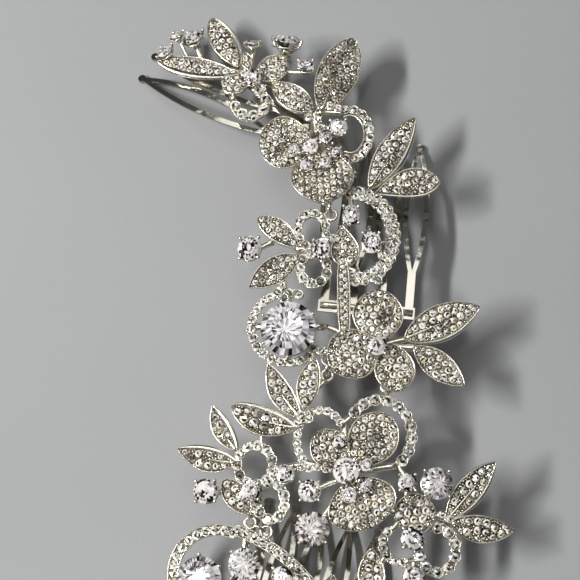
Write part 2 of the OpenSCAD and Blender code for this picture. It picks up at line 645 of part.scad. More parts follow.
// Two turns of wire that bind a comb to its bar, on either side of its middle tines
least_turn_x = 0.6;
module binding(row) {
    half = max(least_turn_x, (row[5] - 2) * tine_pitch / 2);
    slack = 0.15;
    clear_r = norm([spine_width / 2, (bar_z + bar_r - spine_top + strip_thickness) / 2]) + slack;
    middle_z = (bar_z + bar_r + spine_top - strip_thickness) / 2;
    color(silver) at_middle() at_comb(row) for (x = [-half, half])
        translate([x, spine_y, middle_z]) rotate([0, 90, 0])
            rotate_extrude($fn=48) translate([clear_r + binding_wire_r, 0])
                circle(r=binding_wire_r, $fn=24);
}

// The frame's origin is under the middle of the piece
module at_middle() {
    translate([-middle_x, -middle_y, 0]) children();
}

module casting(name, leaves, scrolls, stem_table) {
    color(silver) at_middle() {
        for (row = leaves)
            blade(row, leaf_depth, leaf_steps);
        for (row = scrolls)
            scroll(row);
        stems(stem_table);
        settings(name, 1.2);
        eyelets(name);
        for (row = RIVETS)
            if (row[0] == name) pad(row);
        for (row = COMBS)
            if (row[0] == name) comb_bar(row);
    }
}

module flower(name, petals) {
    color(bead) at_middle() {
        for (row = petals)
            blade(row, petal_depth, petal_steps);
        settings(str("flower_", name), 3.6);
        rivet(row_of(RIVETS, name));
    }
}

module spray_top() { casting("top", LEAVES_TOP, SCROLLS_TOP, STEMS_TOP); }
module spray_middle() { casting("middle", LEAVES_MIDDLE, SCROLLS_MIDDLE, STEMS_MIDDLE); }
module spray_lower() { casting("lower", LEAVES_LOWER, SCROLLS_LOWER, STEMS_LOWER); }
module spray_end() { casting("end", LEAVES_END, SCROLLS_END, STEMS_END); }

spray_top();
spray_middle();
spray_lower();
spray_end();
flower("top", PETALS_TOP);  // flower_top
flower("middle", PETALS_MIDDLE);  // flower_middle
flower("lower", PETALS_LOWER);  // flower_lower
for (row = COMBS) {
    comb(row);
    binding(row);
}
for (l = LINKS)
    jump_ring(l);
for (i = [0:len(STONES) - 1])
    stone(i);
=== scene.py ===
# %% [markdown]
# # A bridal hair comb: a vine of pave flowers and leaves
#
# The real piece is four castings of plated white metal, linked by jump rings into one long vine and
# bound to three flat combs. Small stones cover almost all of it, so most of the work is in placing
# more than nine hundred stones along curved shapes. Lengths in this lesson are in millimetres until
# a mesh is made, because a jeweller thinks in millimetres.

# %% Load the fixed frame
import math
from collections import namedtuple

import bpy
import numpy as np
from mathutils import Matrix


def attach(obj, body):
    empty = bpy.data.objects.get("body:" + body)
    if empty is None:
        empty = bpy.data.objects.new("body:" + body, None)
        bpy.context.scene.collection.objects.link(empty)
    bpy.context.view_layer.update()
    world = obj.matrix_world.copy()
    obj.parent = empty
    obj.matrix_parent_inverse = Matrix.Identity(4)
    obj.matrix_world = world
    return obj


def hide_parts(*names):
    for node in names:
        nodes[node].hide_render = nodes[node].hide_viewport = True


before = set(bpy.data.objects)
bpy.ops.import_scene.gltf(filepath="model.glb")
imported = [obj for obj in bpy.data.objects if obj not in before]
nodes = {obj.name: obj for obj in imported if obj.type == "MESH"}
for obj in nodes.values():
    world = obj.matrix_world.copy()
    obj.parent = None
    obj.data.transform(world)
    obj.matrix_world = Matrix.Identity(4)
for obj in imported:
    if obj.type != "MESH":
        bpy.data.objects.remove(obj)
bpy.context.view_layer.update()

print("nodes in the frame:", len(nodes))

# %% [markdown]
# ## The drawing and the dome
#
# The vine follows the head, so it is a shallow dome. It is drawn flat, as a jeweller draws it, on a
# sheet square to the eye, and each point of the drawing is carried along its own line of sight down
# to the dome. That way a leaf drawn over the photograph lands over the same leaf in the render.

# %% The drawing sheet, the eye and the dome
LEAN = math.radians(15)
EYE_DISTANCE = 420.0
SHEET_HEIGHT = 8.0
SHEET_WIDTH = 145.0
MIDDLE = np.array([6.6, -18.4, 0.0])
EYE = np.array([0, -EYE_DISTANCE * math.sin(LEAN), SHEET_HEIGHT + EYE_DISTANCE * math.cos(LEAN)])
CREST = np.array([18.0, -25.0, 15.0])
SIDE_RADIUS, LENGTH_RADIUS = 260.0, 700.0


def unit(v):
    """Each row of v divided by its own length."""
    return v / np.linalg.norm(v, axis=-1, keepdims=True)


def at_height(u, v, z):
    """The point at height z on the straight line from the eye through the drawing's point u, v."""
    s = np.stack(np.broadcast_arrays(u, v * math.cos(LEAN), SHEET_HEIGHT + v * math.sin(LEAN)), -1)
    t = (EYE[2] - z) / (EYE[2] - s[..., 2])
    return EYE + t[..., None] * (s - EYE)


def dome_z(p):
    """Crest height less x squared over twice the side radius and y squared over twice the long one."""
    x, y = p[..., 0] - CREST[0], p[..., 1] - CREST[1]
    return CREST[2] - x ** 2 / (2 * SIDE_RADIUS) - y ** 2 / (2 * LENGTH_RADIUS)


def dome_normal(p):
    """Upward unit normal of the dome over p: its slopes along x and y, and one, made unit."""
    x, y = p[..., 0] - CREST[0], p[..., 1] - CREST[1]
    return unit(np.stack([x / SIDE_RADIUS, y / LENGTH_RADIUS, np.ones_like(x)], -1))


def on_dome(u, v, lift):
    """The point that lies lift above the dome on the sight line through u, v, found in six rounds."""
    u, v, lift = (np.asarray(a, float) for a in np.broadcast_arrays(u, v, lift))
    p = at_height(u, v, np.full(u.shape, CREST[2]))
    for _ in range(6):
        p = at_height(u, v, dome_z(p) + lift)
    return p


print("crest of the dome:", on_dome(18, -30, 0).round(2))

# %% [markdown]
# ## Making meshes from whole arrays
#
# A surface here is a grid of points worked out by numpy, and a grid needs only one rule for its
# faces. A piece of jewellery is many such grids, so they are gathered in a bag and written to one
# mesh at the end. Every face carries two random numbers, one for the facet and one for its stone,
# and each point a recess value, which says how deep in the work it lies. The finishes read them:
# the metal is painted darker the deeper it lies, as painted shade.

# %% Grids, bags and pieces
RNG = np.random.default_rng(12)
# The values that the finishes read, with what carries each
VALUES = {"recess": "POINT", "stone": "FACE", "facet": "FACE"}


def grid_faces(rows, cols, closed=False):
    """Quads of a rows by cols grid of points round a bar; closed joins the last row to the first."""
    i, j = np.arange(rows if closed else rows - 1)[:, None], np.arange(cols)[None, :]
    a, b, k = i * cols, ((i + 1) % rows) * cols, (j + 1) % cols
    return np.stack([a + j, a + k, b + k, b + j], -1).reshape(-1, 4)


def cap_faces(start, cols, flip=False):
    """One flat face over a ring of cols points that begins at start."""
    ring = start + np.arange(cols)
    return ring[None] if flip else ring[::-1][None]


class Bag:
    """Parts of one mesh: points, faces, material numbers, smooth shading and the finishes' values."""

    def __init__(self):
        self.parts = {key: [] for key in ("points", "loops", "sizes", "kinds", "smooth", *VALUES)}
        self.count = 0

    def put(self, size, **values):
        """Note down values, one number for all or one for each of so many faces or points."""
        for key, value in values.items():
            self.parts[key].append(np.broadcast_to(np.asarray(value).ravel(), size))

    def add(self, points, *faces, kind=0, smooth=True, recess=0.0, stone=0.0, facet=None):
        """Add points and some arrays of faces; recess is a number or one number a point."""
        points = np.asarray(points, float).reshape(-1, 3)
        for f in faces:
            self.parts["loops"].append((f + self.count).ravel())
            self.put(len(f), sizes=f.shape[1], kinds=kind, smooth=smooth, stone=stone,
                     facet=RNG.random(len(f)) if facet is None else facet)
        self.parts["points"].append(points)
        self.put(len(points), recess=recess)
        self.count += len(points)

    def sweep(self, sections, inward=False, closed=False, recess=0.0):
        """A skin over a row of closed sections, with flat ends unless the row is closed itself."""
        rows, cols = sections.shape[:2]
        faces = [grid_faces(rows, cols, closed)]
        if not closed:
            faces += [cap_faces(0, cols), cap_faces((rows - 1) * cols, cols, flip=True)]
        self.add(sections, *[f[:, ::-1] if inward else f for f in faces], recess=recess)

    def piece(self, name, materials, slot, *replaced):
        """Write the bag to a mesh object at the origin, put it under the root, and hide the frame's parts
        that it replaces.
        """
        whole = {key: np.concatenate(parts) for key, parts in self.parts.items()}
        points, loops, sizes = (whole[key] for key in ("points", "loops", "sizes"))
        mesh = bpy.data.meshes.new(name)
        mesh.vertices.add(len(points))
        mesh.loops.add(len(loops))
        mesh.polygons.add(len(sizes))
        for owner, key, values, kind in ((mesh.vertices, "co", (points - MIDDLE) / 1000, np.float32),
                                         (mesh.loops, "vertex_index", loops, np.int32),
                                         (mesh.polygons, "loop_start", np.cumsum(sizes) - sizes, np.int32),
                                         (mesh.polygons, "loop_total", sizes, np.int32),
                                         (mesh.polygons, "material_index", whole["kinds"], np.int32),
                                         (mesh.polygons, "use_smooth", whole["smooth"], bool)):
            owner.foreach_set(key, values.ravel().astype(kind))
        for label, domain in VALUES.items():
            values = mesh.attributes.new(label, "FLOAT", domain).data
            values.foreach_set("value", whole[label].astype(np.float32))
        mesh.update()
        mesh.validate()
        piece = bpy.data.objects.new(name, mesh)
        bpy.context.scene.collection.objects.link(piece)
        for material in materials:
            mesh.materials.append(material)
        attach(piece, "root")
        if replaced:
            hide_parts(*replaced)
        print(f"{name}: {len(sizes)} faces, {int((sizes - 2).sum())} triangles")


def placed(local, place):
    """Local points set in a place: a middle and three axes."""
    return place[0] + local @ np.array(place[1:])


def copies(shape, faces, origins, axes, scale):
    """A small shape set at many places: each point is origin + scale * (sx * x + sy * y + sz * z)."""
    n, k = len(origins), len(shape)
    axes = np.stack([np.broadcast_to(axis, (n, 3)) for axis in axes], 1)
    points = origins[:, None] + scale[:, None, None] * (shape @ axes)
    return points, *[(f + k * np.arange(n)[:, None, None]).reshape(-1, f.shape[1]) for f in faces]


# %% [markdown]
# ## Finishes
#
# Plated white metal is a mirror, so its looks come from what it reflects, from fine polishing marks,
# from the long soft waves that casting leaves in it, and from the shade between the stones, which is
# painted into the metal's colour. The marks, waves and painted shade are one effect in several metals,
# so they are a node group with named inputs. The stones' fire is a second group. Each facet of a cut
# stone gets its own painted share of light or dark, each stone has its own faint tint, and now and
# then a facet is painted with a flash of violet, blue or amber. The group also leans each facet's
# normal a little its own way, so that a few of them catch the window and glint, from wherever one looks.

# %% Node helpers
def new_material(name):
    """An empty material with an output and a Principled shader."""
    material = bpy.data.materials.new(name)
    material.use_nodes = True
    tree = material.node_tree
    tree.nodes.clear()
    shader = tree.nodes.new("ShaderNodeBsdfPrincipled")
    tree.links.new(shader.outputs[0], tree.nodes.new("ShaderNodeOutputMaterial").inputs[0])
    return material, tree, shader


def fill(tree, inputs, values):
    """Values or links for a node's inputs, by name or number."""
    for key, value in values.items():
        if isinstance(value, bpy.types.NodeSocket):
            tree.links.new(value, inputs[key])
        else:
            inputs[key].default_value = value


def add(tree, kind, values=(), **settings):
    """The outputs of a new node of a kind, with its settings and its inputs."""
    node = tree.nodes.new(kind)
    for key, value in settings.items():
        setattr(node, key, value)
    fill(tree, node.inputs, dict(values))
    return node.outputs


def maths(tree, operation, *values):
    """The result of a math node."""
    return add(tree, "ShaderNodeMath", dict(enumerate(values)), operation=operation)[0]


def vector(tree, operation, values):
    """The result of a vector math node."""
    return add(tree, "ShaderNodeVectorMath", values, operation=operation)[0]


def mix(tree, share, one, other, blend="MIX"):
    """Two colours mixed by a share."""
    values = {"Factor": share, 6: one, 7: other}
    return add(tree, "ShaderNodeMix", values, data_type="RGBA", blend_type=blend)[2]


def noise(tree, scale, detail):
    """The value of a noise over the object's own coordinates."""
    where = add(tree, "ShaderNodeTexCoord")["Object"]
    return add(tree, "ShaderNodeTexNoise", {"Vector": where, "Scale": scale, "Detail": detail})[0]


def ramp(tree, factor, *stops):
    """A colour ramp through stops of (position, colour)."""
    node = tree.nodes.new("ShaderNodeValToRGB")
    tree.links.new(factor, node.inputs[0])
    elements = node.color_ramp.elements
    elements[0].position, elements[0].color = stops[0][0], (*stops[0][1], 1)
    elements[1].position, elements[1].color = stops[-1][0], (*stops[-1][1], 1)
    for position, colour in stops[1:-1]:
        elements.new(position).color = (*colour, 1)
    return node.outputs[0]


def group(name, inputs, outputs):
    """A shader node group with inputs (name: default) and outputs (name: kind), and its two ends."""
    tree = bpy.data.node_groups.new(name, "ShaderNodeTree")
    for label, default in inputs.items():
        kind = "NodeSocketColor" if isinstance(default, tuple) else "NodeSocketFloat"
        tree.interface.new_socket(label, in_out="INPUT", socket_type=kind).default_value = default
    for label, kind in outputs.items():
        tree.interface.new_socket(label, in_out="OUTPUT", socket_type="NodeSocket" + kind)
    return tree, tree.nodes.new("NodeGroupInput").outputs, tree.nodes.new("NodeGroupOutput").inputs


# %% Group: polishing marks, smudges and painted shade between the stones
polish, given, made = group(
    "polish_and_painted_shade",
    {"Bright": (0.86, 0.85, 0.82, 1), "Warm": (0.62, 0.57, 0.44, 1), "Dark": (0.10, 0.09, 0.06, 1),
     "Patch Scale": 400.0, "Warmth": 0.4, "Roughness": 0.16, "Recess": 0.0, "Wave": 3.0},
    {"Color": "Color", "Roughness": "Float", "Height": "Float"})
patches, fine = noise(polish, given["Patch Scale"], 3.0), noise(polish, 2600.0, 2.0)
patch_mask = add(polish, "ShaderNodeMapRange", {0: patches, 1: 0.42, 2: 0.68})[0]
tinted = mix(polish, maths(polish, "MULTIPLY", patch_mask, given["Warmth"]), given["Bright"], given["Warm"])
rougher = maths(polish, "MULTIPLY_ADD", fine, 0.12, given["Roughness"])
faint = maths(polish, "MULTIPLY", fine, 0.3)
# The Dark colour is painted shade, mixed in by the recess: the deeper a point lies in the work, the darker
fill(polish, made, {"Color": mix(polish, given["Recess"], tinted, given["Dark"]),
                    "Roughness": maths(polish, "MULTIPLY_ADD", given["Recess"], 0.25, rougher),
                    "Height": maths(polish, "MULTIPLY_ADD", patches, given["Wave"], faint)})

# %% Group: the fire of cut facets
fire, given, made = group(
    "facet_fire",
    {"Facet": 0.5, "Stone": 0.5, "Darks": 0.1, "Tint": (0.93, 0.93, 0.97, 1), "Fire": 0.4, "Lean": 0.8},
    {"Color": "Color", "Roughness": "Float", "Normal": "Vector"})
# The facet's painted light: its level runs from near black to white, and some facets get painted flashes of
# colour
spread = add(fire, "ShaderNodeMapRange", {0: given["Facet"], 1: given["Darks"], 2: 1.0})[0]
level = ramp(fire, spread, (0.0, (0.012, 0.01, 0.008)), (0.25, (0.11, 0.10, 0.085)), (0.5, (0.5, 0.49, 0.47)),
             (0.75, (0.93, 0.92, 0.9)), (1.0, (1, 1, 1)))
drawn = maths(fire, "ADD", maths(fire, "MULTIPLY", given["Facet"], 7.3), given["Stone"])
hue = ramp(fire, maths(fire, "FRACT", drawn), (0.0, (1, 1, 1)), (0.56, (1, 1, 1)), (0.66, (0.7, 0.66, 1.0)),
           (0.74, (0.55, 0.78, 1.0)), (0.8, (0.75, 1, 0.95)), (0.86, (1, 1, 1)), (0.93, (1.0, 0.86, 0.62)),
           (1.0, (1, 1, 1)))
own = ramp(fire, given["Stone"], (0.0, (1, 0.94, 0.80)), (0.3, (1, 0.985, 0.93)), (0.55, (1, 1, 1)),
           (0.75, (1, 0.93, 0.90)), (1.0, (0.95, 0.95, 1)))
flashed = mix(fire, given["Fire"], mix(fire, 1.0, given["Tint"], own, "MULTIPLY"), hue)
both = add(fire, "ShaderNodeCombineXYZ", {0: given["Facet"], 1: given["Stone"]})[0]
scattered = add(fire, "ShaderNodeTexWhiteNoise", {"Vector": both}, noise_dimensions="3D")["Color"]
centred = vector(fire, "SUBTRACT", {0: scattered, 1: (0.5, 0.5, 0.5)})
leaning = vector(fire, "SCALE", {0: centred, "Scale": given["Lean"]})
summed = vector(fire, "ADD", {0: add(fire, "ShaderNodeNewGeometry")["Normal"], 1: leaning})
fill(fire, made, {"Color": mix(fire, 1.0, level, flashed, "MULTIPLY"),
                  "Roughness": maths(fire, "MULTIPLY_ADD", given["Stone"], 0.06, 0.05),
                  "Normal": vector(fire, "NORMALIZE", {0: summed})})


# %% Materials made from the two groups
def stored(tree, label):
    """A value that the mesh stores."""
    return add(tree, "ShaderNodeAttribute", attribute_name=label)["Fac"]


def metal(name, bright, warm, dark, warmth, roughness, scale=400.0, wave=3.0):
    """Plated metal: the polish group in a fully metallic shader, with a bump of marks and long waves, and
    painted shade where the work is recessed.
    """
    material, tree, shader = new_material(name)
    marks = add(tree, "ShaderNodeGroup", {
        "Bright": (*bright, 1), "Warm": (*warm, 1), "Dark": (*dark, 1), "Warmth": warmth,
        "Roughness": roughness, "Patch Scale": scale, "Wave": wave, "Recess": stored(tree, "recess")},
        node_tree=polish)
    bumped = add(tree, "ShaderNodeBump", {"Height": marks["Height"], "Strength": 0.2, "Distance": 0.0002})[0]
    fill(tree, shader.inputs, {"Metallic": 1.0, "Base Color": marks["Color"], "Roughness": marks["Roughness"],
                               "Normal": bumped})
    return material


def stone_material(name, tint, darks, fire_share, lean, values):
    """The fire group's painted light level for each facet, facets that lean apart, and the shader's other
    values.
    """
    material, tree, shader = new_material(name)
    burn = add(tree, "ShaderNodeGroup", {
        "Darks": darks, "Tint": (*tint, 1), "Fire": fire_share, "Lean": lean,
        "Facet": stored(tree, "facet"), "Stone": stored(tree, "stone")}, node_tree=fire)
    fill(tree, shader.inputs, {"Base Color": burn["Color"], "Normal": burn["Normal"],
                               "Roughness": burn["Roughness"], **values})
    return material


def foil_backed(name, tint, darks, fire_share, metallic, lean):
    """A small foil-backed stone: facets painted bright and dark, part mirror and part glow, under a clear
    coat.
    """
    return stone_material(name, tint, darks, fire_share, lean,
                          {"Metallic": metallic, "Coat Weight": 1.0, "Coat Roughness": 0.04})


silver = metal("rhodium_casting", (0.93, 0.90, 0.80), (0.82, 0.74, 0.52), (0.02, 0.016, 0.007), 0.55, 0.15)
petal_silver = metal("rhodium_petal", (0.93, 0.89, 0.78), (0.83, 0.74, 0.50), (0.024, 0.018, 0.008), 0.6,
                     0.15, scale=500.0)
# The combs' colours are painted far darker than the castings': painted shade for the shadow they lie in and
# the dark room they reflect
comb_shaded_silver = metal("comb_strip_painted_shade", (0.48, 0.46, 0.40), (0.26, 0.245, 0.2), (0.08, 0.08, 0.065), 0.6,
                    0.04, scale=75.0, wave=16.0)
wire_silver = metal("link_wire", (0.82, 0.80, 0.74), (0.55, 0.5, 0.4), (0.15, 0.14, 0.1), 0.5,
                    0.12, scale=700.0)
pave_glass = foil_backed("pave_stone", (1.0, 0.965, 0.875), 0.0, 0.13, 0.3, 0.8)
scroll_glass = foil_backed("scroll_stone", (0.93, 0.91, 0.87), 0.02, 0.3, 0.3, 0.8)
foil = foil_backed("stone_foil", (0.97, 0.96, 0.98), 0.0, 0.3, 0.6, 0.3)
# The crown of a larger stone is part clear glass and part the pavilion's bright and dark picture, painted on
# its facets
large_glass = stone_material("cut_crystal", (0.99, 0.98, 1.0), 0.0, 0.16, 0.7, {
    "Transmission Weight": 0.12, "Metallic": 0.3, "IOR": 1.55, "Roughness": 0.03, "Coat Weight": 0.3,
    "Coat Roughness": 0.02})
print("materials:", [m.name for m in bpy.data.materials])

# %% [markdown]
# ## The tables of the drawing
#
# These are the same tables as in the part's source: where each leaf, scroll, stem and stone is drawn.
# A leaf runs from a base to a tip with a width, a lift above the dome at each end and a roll; its
# outline is half the width times sin(180 t^a)^b, so a and b say where it is widest and how blunt, and
# its middle line bows to the left by so many millimetres.

# %% Leaves and petals
Leaf = namedtuple("Leaf", "base_u base_v tip_u tip_v width base_lift tip_lift roll outline bow")
# The last of the middle casting's leaves is a broad pave bar, a leaf with an even width
LEAF, BLUNT, FAN, PETAL, DISC, BAR = (0.95, 0.7), (1.1, 0.55), (1.45, 0.6), (1.15, 0.5), (1, 0.5), (1, 0.16)
LEAVES = {
    "top": [
        (-13.5, 53.9, -33, 57.1, 5.8, 2, 3, -4, BLUNT, 0),
        (-12.8, 55.8, -19.6, 67.8, 7.4, 2, 3.5, 10, BLUNT, 0),
        (7.75, 44.5, 15.8, 62.8, 10.8, 2, 4, 0, BLUNT, 0),
        (-10, 53.5, -17, 50.5, 7, 2.2, 2.2, 0, PETAL, 0),
        (-8.5, 53, -0.6, 57.3, 7.6, 2.2, 2.6, 0, PETAL, 0),
        (-4.5, 51.5, 5.5, 45, 7, 2, 2, 0, BLUNT, 0),
        (-10.4, 55, -11.2, 59.4, 3.2, 2.2, 2.6, 0, LEAF, 0)],
    "middle": [
        (19.8, 25.2, 31.25, 43, 7.9, 1.8, 4, 12, LEAF, 0),
        (21, 24, 37.5, 27.2, 7.6, 1.8, 3.5, 12, FAN, 0.9),
        (1.9, 10.8, -8, 18, 6, 1.8, 2.5, 8, BLUNT, -0.4),
        (2.2, 8.6, -10.1, 0.8, 6.8, 1.8, 2.5, -8, LEAF, 0),
        (12.9, 16.1, 14.3, 5.6, 7.2, 2.4, 2, 0, FAN, 0),
        (28.5, -12.2, 47.4, -4.2, 9.2, 1.8, 4, 14, LEAF, 0),
        (31, -14.25, 43.6, -23.9, 7, 1.8, 2.5, 6, LEAF, 0),
        (13.2, 7.5, 13.7, -11.5, 3.3, 2.4, 2.3, 0, BAR, 0)],
    "lower": [
        (2.6, -32.1, -5.5, -18.5, 5.8, 1.8, 2.5, 0, LEAF, 0.9),
        (3.7, -30, 6.4, -17.1, 5.7, 1.8, 2.5, 0, LEAF, 0.4),
        (1.6, -34.6, -14.6, -29.2, 7.6, 1.8, 3, 8, BLUNT, 0.9),
        (-13.3, -40.2, -19.4, -29, 5, 1.8, 2.5, -6, LEAF, 0.6),
        (-13.2, -43.2, -28, -39.75, 6.4, 1.8, 3, -6, LEAF, 0.7),
        (-10, -56, -16.5, -47.6, 6, 1.8, 2.2, 0, PETAL, 0),
        (26, -56.1, 36.4, -55.8, 9.9, 2.2, 2.2, 0, DISC, 0),
        (39, -57.5, 51.25, -43, 7.2, 1.8, 4, 10, LEAF, 0),
        (40.1, -58.1, 56, -60.2, 6.7, 1.8, 2.5, 8, LEAF, -0.7),
        (20.5, -78, 20.25, -64.5, 6.5, 1.8, 1.8, 0, LEAF, 0)],
    "end": [
        (-4, -102, -4.5, -114, 6, 1.8, 1.8, 0, LEAF, 0),
        (-5.5, -101, -17, -108, 5.5, 1.8, 1.8, 0, LEAF, 0),
        (-2.5, -101, 8.5, -107, 5.5, 1.8, 1.8, 0, LEAF, 0),
        (9.4, -79.6, 10.7, -71, 4.5, 1.8, 2, 0, LEAF, 0)],
}
PETALS = {
    "top": [
        (5.4, 37, -7.7, 36.7, 14.6, 3.7, 4, 0, PETAL, 0),
        (8, 34.5, 8, 22, 16, 3.7, 4.4, 0, DISC, 0)],
    "middle": [
        (21.75, -12.5, 22.25, 0, 12.5, 3.7, 4.2, 0, DISC, 0),
        (20.9, -12.4, 10.3, -19.6, 13, 3.7, 4.2, 0, DISC, 0),
        (25, -13.6, 27.2, -25.3, 10, 3.7, 4, 0, PETAL, 0)],
    "lower": [
        (13.5, -43.75, 6.5, -35.75, 9.5, 3.7, 4, 0, DISC, 0),
        (16, -43.5, 25, -31.5, 12, 3.7, 4.2, 0, PETAL, 0),
        (15, -47.2, 20.6, -59.4, 17, 3.7, 4, 0, PETAL, 0)],
}
LEAVES, PETALS = ({name: [Leaf(*row) for row in rows] for name, rows in table.items()}
                  for table in (LEAVES, PETALS))
print("leaves:", sum(map(len, LEAVES.values())), "petals:", sum(map(len, PETALS.values())))

# %% [markdown]
# Some leaves have a polished midrib for part of their length, and some are turned so that one wall
# shows broad and bright. Those are noted by the leaf's place in the table, counted from nought.

# %% Midribs (share of the length) and broad walls (left and right, mm)
RIBS = {"top": {2: 0.42}, "middle": {0: 0.42, 5: 0.5, 6: 0.25},
        "lower": {0: 0.5, 2: 0.42, 3: 0.3, 4: 0.5, 7: 0.66, 8: 0.35}}
WALLS = {"top": {0: (1.1, 0), 1: (0, 1.1), 2: (0.5, 0)},
         "middle": {0: (0.5, 1.3), 1: (0, 0.8), 5: (0, 1.1), 6: (0.5, 0)},
         "lower": {0: (0, 0.6), 2: (0, 1.2), 3: (0, 1.1), 4: (0, 1.2), 7: (0, 1.1), 8: (0.5, 0)}}
print("leaves with a rib:", sum(map(len, RIBS.values())), "with a broad wall:", sum(map(len, WALLS.values())))

# %% Scrolls
Scroll = namedtuple("Scroll", "u v radius_u radius_v start end end_size width lift")
SCROLLS = {
    "top": [
        (-10, 47, 4, 3.4, 75, -185, 1, 3.1, 1.8),
        (15, 39, 5, 6.25, 118, -115, 1, 2.4, 1.8)],
    "middle": [
        (16.6, 13, 9.7, 11.25, 105, -112, 0.9, 3.6, 1.8),
        (5.5, 15, 3.55, 4.3, 0, 360, 1, 2.4, 1.8),
        (5.9, 5.4, 3.4, 3.8, 0, 360, 1, 2.7, 1.8),
        (-0.5, -9.4, 9.25, 8.7, 66, 312, 1, 2.4, 1.8)],
    "lower": [
        (7.75, -37.5, 6, 7.5, 28, 228, 1, 2.2, 1.8),
        (22.4, -36.3, 8.1, 8.9, 150, -56, 1, 3, 1.8),
        (-8.8, -43.7, 4.4, 4.9, 0, 360, 1, 2.6, 1.8),
        (-4.8, -52.7, 3.5, 4.7, 0, 360, 1, 2.8, 1.8),
        (36.9, -65, 4.6, 5.6, 110, -215, 1, 3, 1.8),
        (27.6, -63.6, 4.5, 4.5, 120, 292, 1, 2.3, 1.8)],
    "end": [
        (-18.25, -71, 11, 11, 62, 262, 1, 2.8, 1.8),
        (-28, -100, 42.5, 42.5, 71, 21, 1, 2.8, 1.8),
        (2, -88.5, 9.7, 12, 22, -122, 1, 2.6, 1.8),
        (-6, -82.5, 16, 18, 176, 262, 1, 2.6, 1.8)],
}
SCROLLS = {name: [Scroll(*row) for row in rows] for name, rows in SCROLLS.items()}
print("scrolls:", {name: len(rows) for name, rows in SCROLLS.items()})

# %% Stems: from u, v, lift, to u, v, lift, radius
STEMS = {
    "top": [
        (-27, 57, 1.2, -11, 54, 1.2, 0.9), (-12, 54, 1.2, -4.5, 52.5, 1.2, 1.3),
        (-5, 52, 1.2, 6, 44.5, 1.2, 1.3), (6, 45, 1.2, 6.5, 36.5, 1.1, 1.3),
        (7, 44.5, 1.2, 13.5, 44.2, 1.2, 1), (6.5, 36.5, 1.2, 13.5, 33.6, 1.2, 1),
        (6.5, 36, 1.2, 8.9, 27, 1, 1), (8.9, 27, 1, 9.1, 24, 0.4, 1),
        (-14.2, 47.4, 1.2, -14, 51, 1.2, 0.8), (-9, 49.5, 1.2, -8, 53, 1.2, 0.9)],
    "middle": [
        (20, 24.5, 1, 17, 24, 1, 1), (7.6, 18.2, 1, 9.1, 18.5, 0.4, 0.7), (13.4, 6, 1, 16.8, 4.4, 1, 0.9),
        (8.6, 12.5, 1, 13, 12.5, 1, 0.9), (1.5, 10.2, 1, 6, 10.2, 1, 1),
        (13.6, -10, 1.1, 21.75, -14, 1.1, 1.2), (5.6, -15.6, 1, 21.75, -14, 1, 1),
        (-1.3, -0.9, 1, -1.8, 6, 1, 0.7), (21.75, -14, 1, 29.5, -12.2, 1, 1.2),
        (21.75, -14, 1, 32, -14.6, 1, 1.2), (-9.6, -9.25, 1.2, 9, -9.25, 1.2, 1),
        (9, -9.25, 1.2, 14, -11, 1.2, 0.9), (-0.5, -1, 1.2, -0.5, -17.5, 1.2, 1),
        (24.8, -15, 0.9, 24.5, -19, 0.4, 0.9), (9.3, -15.2, 0.8, 9.3, -16.2, 0.4, 0.7)],
    "lower": [
        (3.5, -31, 1.2, 5.8, -31, 1.2, 1), (9, -22.6, 0.4, 5.4, -26, 1.2, 0.7),
        (24.2, -25.6, 0.5, 24.2, -27, 1, 0.8), (15.1, -31.8, 1, 12.6, -34, 1, 1),
        (13.4, -33.5, 1, 15.5, -45.3, 1, 1.2), (15.5, -45.3, 1, 26.9, -43.9, 1, 1.2),
        (26.9, -43.7, 1.2, 29.3, -47.3, 1.6, 0.7), (15.5, -45.3, 1, 3.5, -43.2, 1, 1),
        (-5.2, -45, 1.2, 3.5, -43.5, 1.2, 1), (-7, -35.5, 1.2, -7.2, -40, 1.2, 0.7),
        (-13, -41, 1.2, -12.8, -43.5, 1.2, 1), (-10.5, -55.5, 1.2, -7.2, -55.6, 1.2, 1),
        (15.5, -45.3, 1, 20.5, -54, 1, 1.2), (20.5, -54, 1, 28, -56, 1, 1.2),
        (34.5, -55.8, 1.2, 40.5, -57.8, 1.2, 1.1), (35.5, -57.5, 1.2, 37, -59.4, 1.2, 1),
        (25.3, -60, 1.2, 28, -57, 1.2, 0.9), (28.5, -68, 1.2, 34, -67.5, 1.2, 1),
        (20.8, -70, 1.2, 24, -66.5, 1.2, 0.9), (-10, -56.8, 0.4, -10.3, -54.8, 1.2, 0.8)],
    "end": [
        (-30.2, -71.5, 1.2, -22.5, -72, 1.5, 1), (-11.2, -61.5, 1.2, -11.5, -69, 1.5, 0.9),
        (0.2, -68.5, 1.2, -2, -71.5, 1.5, 0.9), (-22.2, -82.3, 1.2, -21.5, -76, 1.2, 1),
        (-21, -78, 1.2, 9.5, -79, 1.2, 1), (-6, -79, 1.2, -5.5, -92, 1.2, 1),
        (-5.5, -92, 1.2, -4, -103, 1.2, 1.2), (-5, -99.5, 1.2, -10, -99.5, 1.2, 1),
        (-5.9, -61.9, 0.4, -5.9, -63.8, 1, 0.8), (-13.6, -61, 1.2, -14, -60.4, 1.2, 1)],
}
print("stems:", sum(map(len, STEMS.values())))

